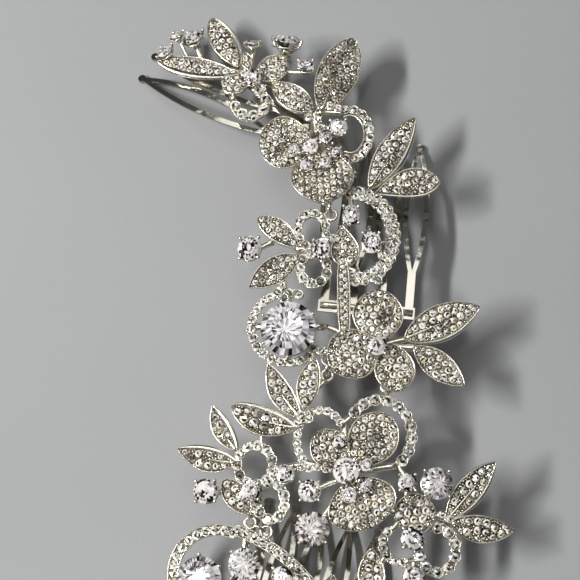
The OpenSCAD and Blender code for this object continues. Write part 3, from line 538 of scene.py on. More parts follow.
# %% Set stones
# The lift is the girdle's, and the root is where the stone's stem meets the metal
Stone = namedtuple("Stone", "casting u v lift width long lean_right lean_up root_u root_v")
STONES = [
    ("top", -31.25, 59.75, 4.5, 4.25, 1, -25, 20, -28, 55.75),
    ("top", -28.25, 63.75, 4, 3.25, 1, -15, 35, -25, 57),
    ("top", -24.25, 63.25, 4.8, 5.5, 1.1, -12, 30, -22, 56.5),
    ("top", -9.3, 61.7, 4, 4.3, 1, 0, 60, -10, 54.5),
    ("top", -0.75, 62.3, 4.4, 8.2, 1, 8, 60, -4, 55.5),
    ("top", 4, 56.2, 4.8, 4.4, 1, 5, 25, -3, 54.5),
    ("top", -9.5, 53.3, 5, 4.6, 1, 0, 0, -9.5, 53.5),
    ("top", 12, 40.7, 4.4, 4.7, 1, -8, 0, 6.5, 41.5),
    ("flower_top", 5, 36, 6, 4, 1, -6, 0, 6, 36),
    ("flower_top", 9.1, 38, 6, 3.6, 1, 6, 4, 7.25, 36.4),
    ("flower_top", 1.1, 35.3, 5.6, 2.9, 1, 0, 0, 1.4, 35.75),
    ("flower_top", 4.1, 31.2, 5.6, 3.2, 1, 0, 0, 5.5, 31.5),
    ("flower_top", 8.75, 32, 5.8, 3, 1, 0, 0, 8.5, 32.25),
    ("middle", -10.2, 10.5, 4.4, 5.9, 1.12, -6, 0, -4.25, 12),
    ("middle", 7.8, 10.3, 4.8, 4.3, 1.25, 0, 0, 7, 10.2),
    ("middle", 15.3, 18.8, 5, 4.4, 1.2, 0, 0, 15.25, 24),
    ("middle", 20.3, 12, 4.4, 4.9, 1.18, 0, 0, 26.3, 12.25),
    ("middle", -0.45, -9.7, 6, 13.4, 1, -4, 0, -0.5, -9),
    ("flower_middle", 21.75, -13.9, 6, 4.75, 1, 0, 0, 21.75, -13.75),
    ("lower", -1.5, -45.8, 4.4, 5, 1, 0, 28, -1, -44.25),
    ("lower", -21.1, -50.3, 4.4, 6.1, 1, -8, 0, -14, -50.5),
    ("lower", -9.9, -50.4, 4.8, 4.5, 1, 0, 0, -8.25, -51.5),
    ("lower", 4.9, -50.2, 4.6, 5.4, 1, 0, 0, 14, -46.5),
    ("lower", 5.6, -59.8, 5.2, 8.1, 1, 0, 0, 14.5, -48),
    ("flower_lower", 14, -45.2, 6.2, 6.25, 1, 0, 0, 15, -45.1),
    ("flower_lower", 12.4, -37.9, 6, 3.6, 1, 0, 0, 11, -39),
    ("flower_lower", 18.9, -43.6, 6, 3.25, 1, 0, 0, 18.25, -41.75),
    ("flower_lower", 18.9, -49.1, 6, 3.25, 1, 0, 0, 17.5, -49.75),
    ("flower_lower", 14.6, -51.2, 6, 3.8, 1, 0, 0, 15.5, -50.5),
    ("lower", 29.4, -48.1, 4.4, 4.4, 1, 0, 0, 29, -54.5),
    ("lower", 36.75, -48.4, 5.4, 7.6, 1, 6, 0, 33, -55),
    ("lower", 30.7, -62, 4.6, 5.4, 1, 0, 0, 31, -57.5),
    ("lower", 31, -71.5, 4.4, 5, 1, 0, 0, 31, -67.8),
    ("end", -22.6, -72.2, 5.6, 10.5, 1, -4, 0, -22.5, -72),
    ("end", -11.5, -68.7, 5, 7.4, 1.06, 0, 0, -11.25, -64.5),
    ("end", -2, -71.75, 4.4, 5, 1, 0, 0, -0.5, -69.5),
    ("end", -5.6, -89, 4.6, 6, 1, 0, 0, -5.5, -88.5),
    ("flower_top", 11.5, 34.5, 5.6, 2.8, 1, 0, 0, 9.6, 34),
]
STONES = [Stone(*row) for row in STONES]
CENTRE = 17
print("set stones:", len(STONES), "the centre stone is", STONES[CENTRE].width, "mm wide")

# %% Small collet stones on the joints: u, v, lift, width, root u, root v
KNOTS = {
    "top": [
        (4.5, 43.25, 2.9, 1.9, 6.1, 43), (6.75, 42.6, 3.1, 2, 6.2, 42), (7.6, 40.6, 3, 1.8, 6.3, 40),
        (10, 45.9, 2.6, 1.8, 10, 44.5), (11.9, 45.5, 2.5, 1.8, 11.8, 44.4),
        (-7, 50.6, 2.7, 1.8, -8.4, 51.3)],
    "middle": [
        (-3.1, -0.5, 2.6, 1.9, -1.4, -0.2), (-1.6, -1.9, 2.7, 2.1, -1.2, -1.2),
        (-2.1, 1.2, 2.5, 1.7, -1.5, 1.5), (5.8, -14.5, 2.5, 1.8, 6.4, -15.4),
        (7.7, -15.2, 2.5, 1.8, 8.2, -15.3), (10.6, 13, 2.7, 1.9, 10.6, 12.5),
        (22, 2.4, 2.8, 1.9, 21.4, 3.8)],
    "lower": [
        (2.75, -31.4, 3.1, 2, 3.4, -31.2), (1.8, -33.3, 2.9, 2, 2.3, -33.5),
        (4.7, -32.2, 2.8, 1.8, 4.6, -31.3), (9, -44.7, 2.9, 1.9, 9, -44.2),
        (6.9, -44.2, 2.8, 1.9, 6.9, -43.8), (4.8, -44.6, 2.7, 1.9, 4.8, -43.6),
        (2.75, -44.2, 2.7, 1.8, 2.75, -43.6), (1, -44.9, 2.6, 1.8, 1, -44),
        (39.8, -57.2, 2.9, 1.9, 38.8, -57.2), (38, -56.1, 2.7, 1.8, 37.6, -56.8)],
}
# Thin polished rails inside a scroll: radius u, v and the scroll's place in its table
INNER_RAILS = {"top": [(3.5, 4.7, 1)]}
RIVETS = {"top": (6.5, 36), "middle": (21.75, -14), "lower": (15.5, -45.3)}
EYELETS = {"top": [(9.2, 22.6)], "middle": [(10.3, 18.7), (9.3, -17.4), (24.5, -20.4)],
           "lower": [(9.3, -21.3), (24.2, -24.3), (-9.9, -58.2)], "end": [(-5.9, -60.5)]}
print("joint stones:", sum(map(len, KNOTS.values())), "eyelets:", sum(map(len, EYELETS.values())))

# %% [markdown]
# ## Small shapes that are set many times
#
# A pave stone is under two millimetres, so it has a table, a crown and a closed pavilion and no more.
# Its table is cut into eight slices, which stand for the pavilion facets that are seen through it, and
# its facets' light is painted. On a real stone one side of the crown is bright while the table is dark
# on that side, and the other side is the reverse, so the painted facet levels swing once round each
# stone from a start of its own. A bead prong is the little ball that a setter raises from the metal and
# pushes over the stones' edges, and a collar is the thin tube that a scroll's stone sits in. Each is
# made once and set at every place of a row by one array sum.

# %% A pave stone, a bead prong and a collar
def ring(n, r, z, turn=0.0):
    """n points evenly round a circle of radius r at height z, the first turned by turn steps."""
    a = 2 * np.pi * (np.arange(n) + turn) / n
    return np.stack([r * np.cos(a), r * np.sin(a), np.full(n, float(z))], -1)


def fan(n, centre, start, flip=False):
    """Triangles from a centre point to a ring of n points."""
    j = np.arange(n)
    f = np.stack([np.full(n, centre), start + j, start + (j + 1) % n], -1)
    return f[:, ::-1] if flip else f


def between(n, low, high, ahead=0):
    """Triangles from a ring of n points to one that is half a step on, or half a step back with ahead 1."""
    j = np.arange(n)
    a, b, c, d = low + j, low + (j + 1) % n, high + (j + ahead) % n, high + (j + 1 + ahead) % n
    return np.concatenate([np.stack([a, b, c], -1), np.stack([c, b, d], -1)])


SMALL_STONE = np.concatenate([ring(8, 0.58, 0.32, 0.5), ring(8, 1, 0), [[0, 0, 0.32]], [[0, 0, -0.6]]])
SMALL_FACES = np.concatenate([between(8, 8, 0), fan(8, 16, 0), fan(8, 17, 8, flip=True)])
# Painted light of the facets: middle level, swing round the stone and scatter, of the crown, the table and
# the back
SMALL_LEVELS = np.repeat([[0.78, 0.36, 1.1], [0.44, -0.56, 1.2], [0.5, 0, 0.6]], [16, 8, 8], axis=0)
SMALL_TURNS = (np.tile(np.arange(8), 4) + np.repeat([0.5, 1, 1, 0.5], 8)) / 8
# Painted light and dark patches over the work: waves a millimetre and their starts, middle share, swing,
# scatter
PATCH_WAVES = np.array([[0.52, 0.31, 0.2], [-0.37, 0.66, 0.1], [0.83, -0.49, 0.3]])
PATCH_STARTS = [0.4, 1.9, 3.1]
PATCH_LIGHT, PATCH_SWING, PATCH_SCATTER = 1.0, 0.2, 0.09
BEAD = np.concatenate([ring(6, 1, -0.7), ring(6, 0.95, 0.2, 0.5), ring(6, 0.5, 0.85, 1), [[0, 0, 1.0]]])
BEAD_FACES = [between(6, 0, 6), between(6, 6, 12), fan(6, 18, 12), cap_faces(0, 6)]
COLLAR = np.concatenate([ring(10, 1.0, -0.9), ring(10, 1.08, 0.02), ring(10, 0.97, 0.1),
                         ring(10, 0.9, -0.25)])
COLLAR_FACES = [grid_faces(4, 10), cap_faces(0, 10), cap_faces(30, 10, flip=True)]
COLLAR_RECESS = np.repeat([0.3, 0, 0, 0.8], 10)


def turned(normal, along, side):
    """The axes of stones with these normals, each turned about its own by a random angle."""
    spin = RNG.random(len(normal))[:, None] * 2 * np.pi
    x = unit(np.cross(normal, np.cos(spin) * along + np.sin(spin) * side))
    return x, np.cross(normal, x), normal


def set_small(bag, centres, axes, radii, kind, shade):
    """A pave stone at each centre. Painted facet level = share of its patch times (middle + swing *
    cos(360 (turn - the stone's own)) + scatter): bright crown over dark table on one side."""
    n, k = len(centres), len(SMALL_FACES)
    middle, swing, scatter = SMALL_LEVELS.T
    swung = swing * np.cos(2 * np.pi * (SMALL_TURNS - RNG.random((n, 1))))
    level = middle + swung + scatter * (RNG.random((n, k)) - 0.5)
    wave = np.sin(centres @ PATCH_WAVES.T + PATCH_STARTS).sum(1)
    patch = np.clip(PATCH_LIGHT - PATCH_SWING * wave + RNG.normal(0, PATCH_SCATTER, n), 0.35, 1.25)
    bag.add(*copies(SMALL_STONE, [SMALL_FACES], centres, axes, radii), kind=kind, smooth=False,
            stone=np.repeat(RNG.random(n), k), facet=np.clip(level * shade * patch[:, None], 0, 1))


print("pave stone faces:", len(SMALL_FACES), "bead faces:", sum(map(len, BEAD_FACES)))

# %% [markdown]
# ## Leaves and petals
#
# A leaf is a shallow tray: a wall that draws in below, a polished rim, and inside it a floor that
# swells a little, so that the stones in the middle stand highest. One section across is carried from
# base to tip and grows and shrinks with the outline. Where a leaf is turned, its wall is wider and
# falls away outwards, and a polished midrib lies along the middle from the base.

# %% A leaf's frame, its outline and its tray
RIM_WIDTH, FLOOR_CROWN, FLOOR_DARK, RIB_LIFT, LEAST_HALF = 0.46, 0.35, 0.95, 0.22, 0.3
BLADE_STEPS, RIB_STEPS, RIB_START, RIB_RADII = 36, 9, 0.02, (0.46, 0.12)
# A leaf's wall from its outer edge inwards: inset (share of the wall), height and recess
WALL_SECTION = np.array([[1, 0, 0.8], [0.86, 0.24, 0.45], [0.6, 0.41, 0.1], [0.28, 0.46, 0], [0.06, 0.33, 0],
                         [0, 0.1, 0.05]])
WALL_FALL = 0.75
# Under the wall: shares of the half width and of the depth, and recess
UNDER_SHARES, UNDER_HEIGHTS, UNDER_RECESS = np.array([[0.97, 0.82], [-0.5, -1], [0.2, 0.35]])


def blade_frame(leaf):
    """Base, tip and the three axes of a leaf: along, to the left and up, with its roll."""
    base = on_dome(leaf.base_u, leaf.base_v, leaf.base_lift)
    tip = on_dome(leaf.tip_u, leaf.tip_v, leaf.tip_lift)
    along = unit(tip - base)
    flat = unit(np.cross(dome_normal((base + tip) / 2), along))
    roll = math.radians(leaf.roll)
    side = math.cos(roll) * flat + math.sin(roll) * np.cross(along, flat)
    return base, tip, along, side, np.cross(along, side)


def half_width(leaf, t):
    """Half the width times sin(180 t^a)^b at each share t of the length."""
    a, b = leaf.outline
    return leaf.width / 2 * np.sin(np.pi * np.clip(t, 0, 1) ** a) ** b


def wall_width(leaf, t, wall):
    """The plain rim, or a wall that is widest in the middle of the leaf, never over the half width."""
    width = RIM_WIDTH + max(wall - RIM_WIDTH, 0) * np.sin(np.pi * t) ** 0.6
    return np.minimum(width, 0.72 * np.maximum(half_width(leaf, t), LEAST_HALF))


def blade(bag, leaf, depth, walls=(0, 0), rib=0.0):
    """Section points (inset from the half width, and height) carried along the bowed middle line."""
    base, tip, _, side, up = blade_frame(leaf)

    def middle(t):
        """The line from base to tip, bowed to the left."""
        return base + t[:, None] * (tip - base) + (leaf.bow * np.sin(np.pi * t))[:, None] * side

    t = 0.5 - 0.5 * np.cos(np.pi * np.linspace(0.0, 1.0, BLADE_STEPS))
    half = np.maximum(half_width(leaf, t), LEAST_HALF)[:, None]
    inset, high, recess = WALL_SECTION.T
    floors, across, heights = [], [], []
    for wall in walls:
        width = wall_width(leaf, t, wall)[:, None]
        fall = WALL_FALL * np.maximum(width - RIM_WIDTH, 0) * (1 - inset)
        floors.append(half - width)
        across.append(np.concatenate([half - inset * width, half * UNDER_SHARES], 1))
        heights.append(np.concatenate([high - fall, UNDER_HEIGHTS * depth - fall[:, -1:] * [0.3, 0]], 1))
    x = np.concatenate([-0.5 * floors[1], 0 * half, 0.5 * floors[0], across[0], -across[1][:, ::-1]], 1)
    swell = np.tile(np.array([0.75, 1, 0.75]) * FLOOR_CROWN, (BLADE_STEPS, 1))
    z = np.concatenate([swell, heights[0], heights[1][:, ::-1]], 1)
    dark = np.concatenate([[FLOOR_DARK] * 3, recess, UNDER_RECESS, UNDER_RECESS[::-1], recess[::-1]])
    bag.sweep(middle(t)[:, None] + x[..., None] * side + z[..., None] * up, inward=True,
              recess=np.tile(dark, BLADE_STEPS))
    if rib:
        line = middle(np.linspace(RIB_START, rib, RIB_STEPS)) + (FLOOR_CROWN + RIB_LIFT) * up
        tube(bag, line, np.linspace(*RIB_RADII, RIB_STEPS), sides=8)


print("leaf outline's half widths:", half_width(LEAVES["top"][2], np.linspace(0, 1, 6)).round(1))

# %% [markdown]
# ## Filling a shape with stones
#
# A setter works with a few stone sizes: the largest go in first, from the rim inwards, and smaller
# ones fill what is left. The program does the same. Over a fine grid it keeps the two shortest
# distances to the rim, the rib or a stone, and sets the next stone where their sum is least, which is
# the snuggest corner, or near it, because a setter's hand is no machine. Beads then go into the gaps,
# each where it has the most room.

# %% Packing circles into a shape
SETTERS_HAND, GRID_STEP = 0.12, 0.15
BEAD_WIDTHS, BEAD_OVERLAP, RIB_ROOM = (0.64, 0.56, 0.48, 0.42), 0.13, (0.4, 0.14)


def nearest(grid, line):
    """Shortest distance from each grid point to the points of a line."""
    return np.linalg.norm(grid[:, None] - line[None], axis=2).min(1)


def pack(grid, near, next_near, sizes, snug=True):
    """Centres and widths of circles, largest first, each in the snuggest or the freest place with room."""
    spots, widths = [], []
    uneven = SETTERS_HAND * RNG.random(len(grid))
    for size in sizes:
        while len(grid):
            score = np.where(near >= 0.5 * size, near + next_near + uneven if snug else -near, np.inf)
            k = int(score.argmin())
            if not np.isfinite(score[k]):
                break
            spots.append(grid[k])
            widths.append(size)
            d = np.linalg.norm(grid - grid[k], axis=1) - 0.5 * size
            next_near = np.minimum(next_near, np.maximum(near, d))
            near = np.minimum(near, d)
    return np.array(spots).reshape(-1, 2), np.array(widths), near


def blade_layout(leaf, length, sizes, walls, rib):
    """Places (along and to the left of the middle line, mm) and widths of a leaf's stones and beads."""
    t = np.linspace(0.0, 1.0, 200)
    left, right = (half_width(leaf, t) - wall_width(leaf, t, wall) for wall in walls)
    s, c = np.meshgrid(np.arange(0.3, length - 0.2, GRID_STEP),
                       np.arange(-leaf.width / 2, leaf.width / 2, GRID_STEP))
    grid = np.stack([s.ravel(), c.ravel()], -1)
    share = grid[:, 0] / length
    grid = grid[(grid[:, 1] < np.interp(share, t, left)) & (grid[:, 1] > -np.interp(share, t, right))]
    edges = [nearest(grid, np.stack([t * length, edge], -1)) for edge in (left, -right)]
    near, next_near = np.sort(edges, axis=0)
    if rib:
        line = np.stack([np.linspace(RIB_START, rib, 40) * length, np.zeros(40)], -1)
        d = nearest(grid, line) - np.interp(grid[:, 0] / length, [0, rib], RIB_ROOM)
        near, next_near = np.minimum(near, d), np.minimum(next_near, np.maximum(near, d))
    stones, widths, free = pack(grid, near, next_near, sizes)
    return stones, widths, *pack(grid, free + BEAD_OVERLAP, free, BEAD_WIDTHS, snug=False)[:2]


# %% Setting a leaf's stones and beads
STONE_LIFT, BEAD_LIFT, STONE_RADIUS, BEAD_RADIUS = 0.12, 0.16, 0.48, 0.46
STONE_TIP, FLOOR_LEAN, WIDTH_SCATTER = 0.13, 0.6, 0.03


def clear_of(points, avoid):
    """True where a point is outside every (centre, radius) seen from above."""
    keep = np.ones(len(points), bool)
    for centre, radius in avoid:
        keep &= np.linalg.norm((points - centre)[:, :2], axis=1) > radius
    return keep


def set_pave(metal_bag, stone_bag, leaf, sizes, avoid, walls=(0, 0), rib=0.0, shade=1.0):
    """Stones and bead prongs over a leaf's floor, leaving out those under the larger set stones."""
    base, tip, along, side, up = blade_frame(leaf)
    length = float(np.linalg.norm(tip - base))
    spots, widths, beads, bead_widths = blade_layout(leaf, length, sizes, walls, rib)

    def on_floor(spots, lift):
        """Points of the crowned floor at places along and across, raised by lift."""
        t = spots[:, 0] / length
        room = np.maximum(half_width(leaf, t) - RIM_WIDTH, 0.4)
        z = FLOOR_CROWN * (1 - np.clip(np.abs(spots[:, 1]) / room, 0, 1) ** 2) + lift
        across = spots[:, 1] + leaf.bow * np.sin(np.pi * t)
        return base + spots[:, :1] * along + across[:, None] * side + z[:, None] * up

    centres = on_floor(spots, STONE_LIFT)
    keep = clear_of(centres, avoid)
    n = int(keep.sum())
    if n:
        tilt = RNG.normal(0, STONE_TIP, (n, 2))
        outward = tilt[:, :1] - FLOOR_LEAN * spots[keep, 1:] / leaf.width
        normal = unit(up - outward * side + tilt[:, 1:] * along)
        axes = turned(normal, along, side)
        radii = STONE_RADIUS * widths[keep] * RNG.normal(1.0, WIDTH_SCATTER, n)
        set_small(stone_bag, centres[keep], axes, radii, 0, shade)
    heads = on_floor(beads, BEAD_LIFT)
    keep = clear_of(heads, avoid)
    if keep.any():
        radii = BEAD_RADIUS * bead_widths[keep]
        metal_bag.add(*copies(BEAD, BEAD_FACES, heads[keep], (along, side, up), radii))
    return n


# %% [markdown]
# ## Scrolls
#
# A scroll is a band that curls along part of an ellipse. Each of its round stones sits in its own
# thin collar, and the collars stand side by side on a narrow rail, so the outer edge is scalloped.
# Small beads hold the stones in between. The broad crescents of the lowest casting are different:
# there the rail has raised polished edges, and smaller stones lie between them. The rail's section
# is carried along the curve, and its up direction is the dome's, so the band never twists. Where
# stems meet, single stones in the same collars stand on pegs and cover the joint.

# %% A scroll's path, its band and its stones
BAND_STEP, STONE_GAP, RAILED_STONES, EDGE_ROOM = 0.7, 0.24, 0.8, 0.3
TWO_FILES, FILE_SIZE, FILE_SHIFT = 3.2, 0.56, 0.245
COLLET_RADIUS, COLLET_SHADE, COLLET_TIP, COLLAR_ROOM = 0.485, 0.82, 0.07, 0.06
COLLET_BEAD, BEAD_SPREAD, PEG_LIFT, PEG_RADIUS = 0.25, 0.33, 0.9, 0.5
# A band's section from its left edge down its trough, round and under: across (share of half the width),
# height and recess, and what raised edges add to the first two
BAND = np.array([[-0.8, -0.3, 0.1], [-0.74, -0.1, 0], [-0.62, -0.06, 0.1], [-0.5, -0.3, 0.8], [0, -0.42, 1],
                 [0.5, -0.3, 0.8], [0.62, -0.06, 0.1], [0.74, -0.1, 0], [0.8, -0.3, 0.1], [0.8, -0.8, 0.2],
                 [0.7, -1.5, 0.35], [-0.7, -1.5, 0.35], [-0.8, -0.8, 0.2]])
RAILED_X = [-1, -0.96, -0.84, -0.76, 0, 0.76, 0.84, 0.96, 1, 0.98, 0.8, -0.8, -0.98]
RAILED_Z = [0.2, 0.36, 0.36, 0, 0, 0, 0.36, 0.36, 0.2, 0, 0, 0, 0]


def scroll_path(band, a):
    """Points on the ellipse at angles a (degrees), whose size changes evenly from 1 to the end size."""
    g = 1 + (band.end_size - 1) * (a - band.start) / (band.end - band.start)
    u = band.u + g * band.radius_u * np.cos(np.radians(a))
    v = band.v + g * band.radius_v * np.sin(np.radians(a))
    return on_dome(u, v, band.lift)


def scroll_frames(band, a):
    """Points of the path at angles a, with unit vectors forward, to the side and up."""
    step = (band.end - band.start) / 400
    p = scroll_path(band, a)
    forward = unit(scroll_path(band, a + step) - scroll_path(band, a - step))
    side = unit(np.cross(dome_normal(p), forward))
    return p, forward, side, np.cross(forward, side)


def scroll(metal_bag, stone_bag, band, avoid, railed):
    """The band under the stones, and its stones at an even pitch: one file, or two where it is broad."""
    closed = abs(band.end - band.start) >= 360
    dense = np.linspace(band.start, band.end, 721)
    steps = np.linalg.norm(np.diff(scroll_path(band, dense), axis=0), axis=1)
    run = np.concatenate([[0], np.cumsum(steps)])
    a = np.interp(np.linspace(0, run[-1], int(run[-1] / BAND_STEP) + 1), run, dense)
    a = a[:-1] if closed else a
    p, _, side, up = scroll_frames(band, a)
    x, z, dark = BAND.T
    if railed:
        x, z = RAILED_X, z + RAILED_Z
    k = np.arange(len(a))
    taper = np.ones(len(a)) if closed else np.clip(np.minimum(k, k[::-1]) / 1.5 + 0.45, 0, 1)
    across = (taper[:, None] * x * band.width / 2)[..., None]
    metal_bag.sweep(p[:, None] + across * side[:, None] + z[None, :, None] * up[:, None], inward=True,
                    closed=closed, recess=np.tile(dark, len(a)))
    files = 2 if band.width > TWO_FILES else 1
    size = (FILE_SIZE if files == 2 else RAILED_STONES if railed else 1.0) * (band.width - EDGE_ROOM)
    count = max(int(round(run[-1] / (size + STONE_GAP))), 2)
    total = 0
    for start, shift in ((0.5, FILE_SHIFT), (1.0, -FILE_SHIFT))[:files]:
        marks = (np.arange(count) + start) / count * run[-1]
        marks = marks if closed else marks[marks < run[-1] - 0.3 * size]
        p, forward, side, up = scroll_frames(band, np.interp(marks, run, dense))
        centres = p + (shift * band.width if files == 2 else 0) * side + 0.02 * up
        keep = clear_of(centres, avoid)
        total += collets(metal_bag, stone_bag, centres[keep], forward[keep], side[keep], up[keep], size)
    return total


def collets(metal_bag, stone_bag, centres, forward, side, up, size):
    """A round stone in a collar at each centre, in its axes, and two beads after it."""
    n = len(centres)
    if not n:
        return 0
    lean = RNG.normal(0, COLLET_TIP, (n, 2))
    axes = turned(unit(up + lean[:, :1] * side + lean[:, 1:] * forward), forward, side)
    set_small(stone_bag, centres, axes, np.full(n, COLLET_RADIUS * size), 1, COLLET_SHADE)
    radii = np.full(n, 0.5 * size + COLLAR_ROOM)
    metal_bag.add(*copies(COLLAR, COLLAR_FACES, centres, (forward, side, up), radii),
                  recess=np.tile(COLLAR_RECESS, n))
    after = centres + 0.5 * (size + STONE_GAP) * forward + 0.1 * up
    beads = np.concatenate([after - BEAD_SPREAD * size * side, after + BEAD_SPREAD * size * side])
    axes = [np.tile(axis, (2, 1)) for axis in (forward, side, up)]
    metal_bag.add(*copies(BEAD, BEAD_FACES, beads, axes, np.full(2 * n, COLLET_BEAD)))
    return n


def knots(metal_bag, stone_bag, rows):
    """The single collet stones on the joints, each on its own peg."""
    for u, v, lift, size, root_u, root_v in rows:
        centre = on_dome(u, v, lift)
        up = dome_normal(centre)
        right = unit(np.cross([0, 1, 0.01], up))
        place = (centre, right, np.cross(up, right), up)
        collets(metal_bag, stone_bag, *(part[None] for part in place), size)
        stem(metal_bag, on_dome(root_u, root_v, PEG_LIFT), centre - 0.55 * size * up, PEG_RADIUS)
    return len(rows)


print("a collar's height:", round(float(np.ptp(COLLAR[:, 2])), 2), "of its radius")

# %% [markdown]
# ## Stems, settings and eyelets
#
# Stems are round wires with soft joints. A setting is a small open basket: a slim cup under the
# stone, a gallery rail round it and four claws that end in balls over the stone's edge. Each is a
# circle carried along a path, with the radius changing on the way.

# %% Round bars along a path
BALL_ROWS, BALL_COLS, RING_COLS, RING_SIDES = 5, 8, 28, 8
POLE, BALL_START = np.array([0, 0, 1.0]), np.array([-1, 0.3, 0])


def circles(path, side, up, radii, sides):
    """A circle of so many points round each point of a path, in the plane of side and up."""
    a = (2 * np.pi * np.arange(sides) / sides)[:, None]
    side, up = (np.broadcast_to(axis, path.shape)[:, None] for axis in (side, up))
    around = np.cos(a) * side + np.sin(a) * up
    return path[:, None] + np.broadcast_to(radii, len(path))[:, None, None] * around


def tube(bag, path, radii, sides=10):
    """A circle carried along the path's points, with flat ends."""
    forward = unit(np.gradient(path, axis=0))
    guide = [1.0, 0.1, 0] if abs(forward[len(path) // 2, 2]) > 0.9 else POLE
    side = unit(np.cross(guide, forward))
    bag.sweep(circles(path, side, np.cross(forward, side), radii, sides))


def stem(bag, start, end, radius):
    """A straight bar that tapers, with a slimmer middle: radius times (1 - t / 10 - 0.12 sin(180 t))."""
    t = np.linspace(0, 1, 7)
    tube(bag, start + t[:, None] * (end - start), radius * (1 - 0.1 * t - 0.12 * np.sin(np.pi * t)))


def ball(bag, centre, radius):
    """Circles of latitude stacked from pole to pole, with the poles closed by fans."""
    n, cols = BALL_ROWS * BALL_COLS, BALL_COLS
    x = unit(BALL_START)
    lat = np.radians(np.linspace(-90, 90, BALL_ROWS + 2)[1:-1])
    path = centre + radius * np.sin(lat)[:, None] * POLE
    body = circles(path, x, np.cross(POLE, x), radius * np.cos(lat), cols)
    bag.add(np.concatenate([body.reshape(-1, 3), centre + radius * np.array([-POLE, POLE])]),
            grid_faces(BALL_ROWS, cols), fan(cols, n, 0, flip=True), fan(cols, n + 1, n - cols))


def round_ring(bag, centre, x, y, r, wire, squash=1.0):
    """A circle of wire carried round a larger circle in the plane of x and y."""
    a = (2 * np.pi * np.arange(RING_COLS) / RING_COLS)[:, None]
    out = np.cos(a) * x + np.sin(a) * y * squash
    bag.sweep(circles(centre + r * out, unit(out), np.cross(x, y), wire, RING_SIDES), closed=True)


# %% Stone settings
CROWN_SHARE, PAVILION_SHARE, TABLE_SHARE, SEAT_GAP, CLAW_RADIUS = 0.169, 0.3, 0.56, 0.12, 0.32
LARGE_WIDTH, CENTRE_WIDTH, CUP_SIDES = 7, 9, 20
EYELET_LIFT, EYELET_RADIUS, EYELET_WIRE = 0.2, 1.35, 0.4


def stone_frame(stone):
    """Girdle middle and axes right, far and up of a set stone, with its two leans."""
    middle = on_dome(stone.u, stone.v, stone.lift)
    lean_right, lean_up = math.radians(stone.lean_right), math.radians(stone.lean_up)
    up = unit(dome_normal(middle) * math.cos(lean_right) * math.cos(lean_up)
              + np.array([math.sin(lean_right), math.sin(lean_up), 0]))
    right = unit(np.cross([0, 1, 0.01], up))
    return middle, right, np.cross(up, right), up


def setting(bag, stone, root_lift):
    """Cup, gallery rail, claws with ball ends and the stem to the metal, all in the stone's frame."""
    place = stone_frame(stone)
    middle, x, y, z = place
    r, long = stone.width / 2, stone.long
    seat = -PAVILION_SHARE * stone.width - SEAT_GAP
    foot = seat - min(1.6, 0.2 * stone.width + 0.5)
    wire = min(CLAW_RADIUS, 0.16 + 0.035 * stone.width)
    reach = r + SEAT_GAP + wire
    root = on_dome(stone.root_u, stone.root_v, root_lift)
    stem(bag, root, middle + (foot + 0.5) * z, 0.4 + 0.08 * stone.width)
    # The cup's radii, heights and recesses, from its foot up to its edge and into it
    cup = [(0.25 * r, foot, 0.3), (0.3 * r + 0.2, foot + 0.05, 0.2),
           (0.3 * r + 0.2, 0.5 * (foot + seat), 0.1), (0.44 * r, seat, 0), (0.5 * r, seat + 0.25, 0),
           (0.42 * r, seat + 0.3, 0.4), (0.2 * r, seat - 0.05, 0.7)]
    rings = np.array([ring(CUP_SIDES, radius, height) for radius, height, dark in cup]) * [1, long, 1]
    bag.sweep(placed(rings, place), recess=np.repeat([dark for radius, height, dark in cup], CUP_SIDES))
    round_ring(bag, middle + 0.62 * seat * z, x, y, 0.9 * r + 0.05, 0.7 * wire, squash=long)
    # A claw's distances from the middle and heights, from the cup up to over the stone's edge
    claw = [(0.4 * r, seat - 0.2), (0.84 * reach, 0.5 * seat), (reach, 0.02),
            (reach - 0.18 * wire, 0.5 * wire + 0.05 * r)]
    count = 6 if stone.width > CENTRE_WIDTH else 4
    for b in 2 * np.pi * (np.arange(count) + 0.5) / count:
        local = [(out * math.cos(b), out * long * math.sin(b), high) for out, high in claw]
        path = placed(np.array(local), place)
        tube(bag, path, wire * np.array([1.15, 1, 0.95, 0.8]), sides=8)
        ball(bag, path[3], 1.5 * wire)


def eyelet(bag, u, v):
    """A flat ring of round wire that a jump ring passes through."""
    centre = on_dome(u, v, EYELET_LIFT)
    up = dome_normal(centre)
    right = unit(np.cross(up, [0, 1, 0]))
    round_ring(bag, centre, right, np.cross(up, right), EYELET_RADIUS, EYELET_WIRE)


widths = [stone.width for stone in STONES]
print("set stones are", min(widths), "to", max(widths), "mm wide")

# %% [markdown]
# ## The comb bars
#
# Each comb is bound with wire to a round bar under its casting. The bar's place follows from where
# the comb lies: its tips stand on the table, its spine is at its far end, and it pitches a little.

# %% Comb bars and their posts: x on the bar, u, v, lift
Comb = namedtuple("Comb", "u v heading pitch tines")
COMBS = {"top": Comb(-36.15, 55.65, 152, -0.5, 2), "middle": Comb(22.5, 37, 84.5, 3, 4),
         "end": Comb(8.5, -55.75, 75, -2.9, 5)}
POSTS = {"top": [(-3.5, 6.5, 38.5, 1.2), (3.5, 7.6, 44.4, 1.2)],
         "middle": [(-5, 13.4, -4.5, 1.2), (4, 24.5, -13.4, 1)],
         "end": [(-3.5, -8.5, -102.8, 1.2), (3.5, 0.5, -102.6, 1.2)]}
COMB_LENGTH, TINE_PITCH, SPINE_WIDTH, STRIP, BEND = 50.0, 7.0, 3.0, 0.8, 110.0
BAR_RADIUS, BAR_GAP, POST_RADIUS = 0.7, 0.2, 0.8
bend_top = -0.8 * COMB_LENGTH
bend_low = -math.sqrt(BEND ** 2 - bend_top ** 2)
spine_y = -COMB_LENGTH + SPINE_WIDTH / 2
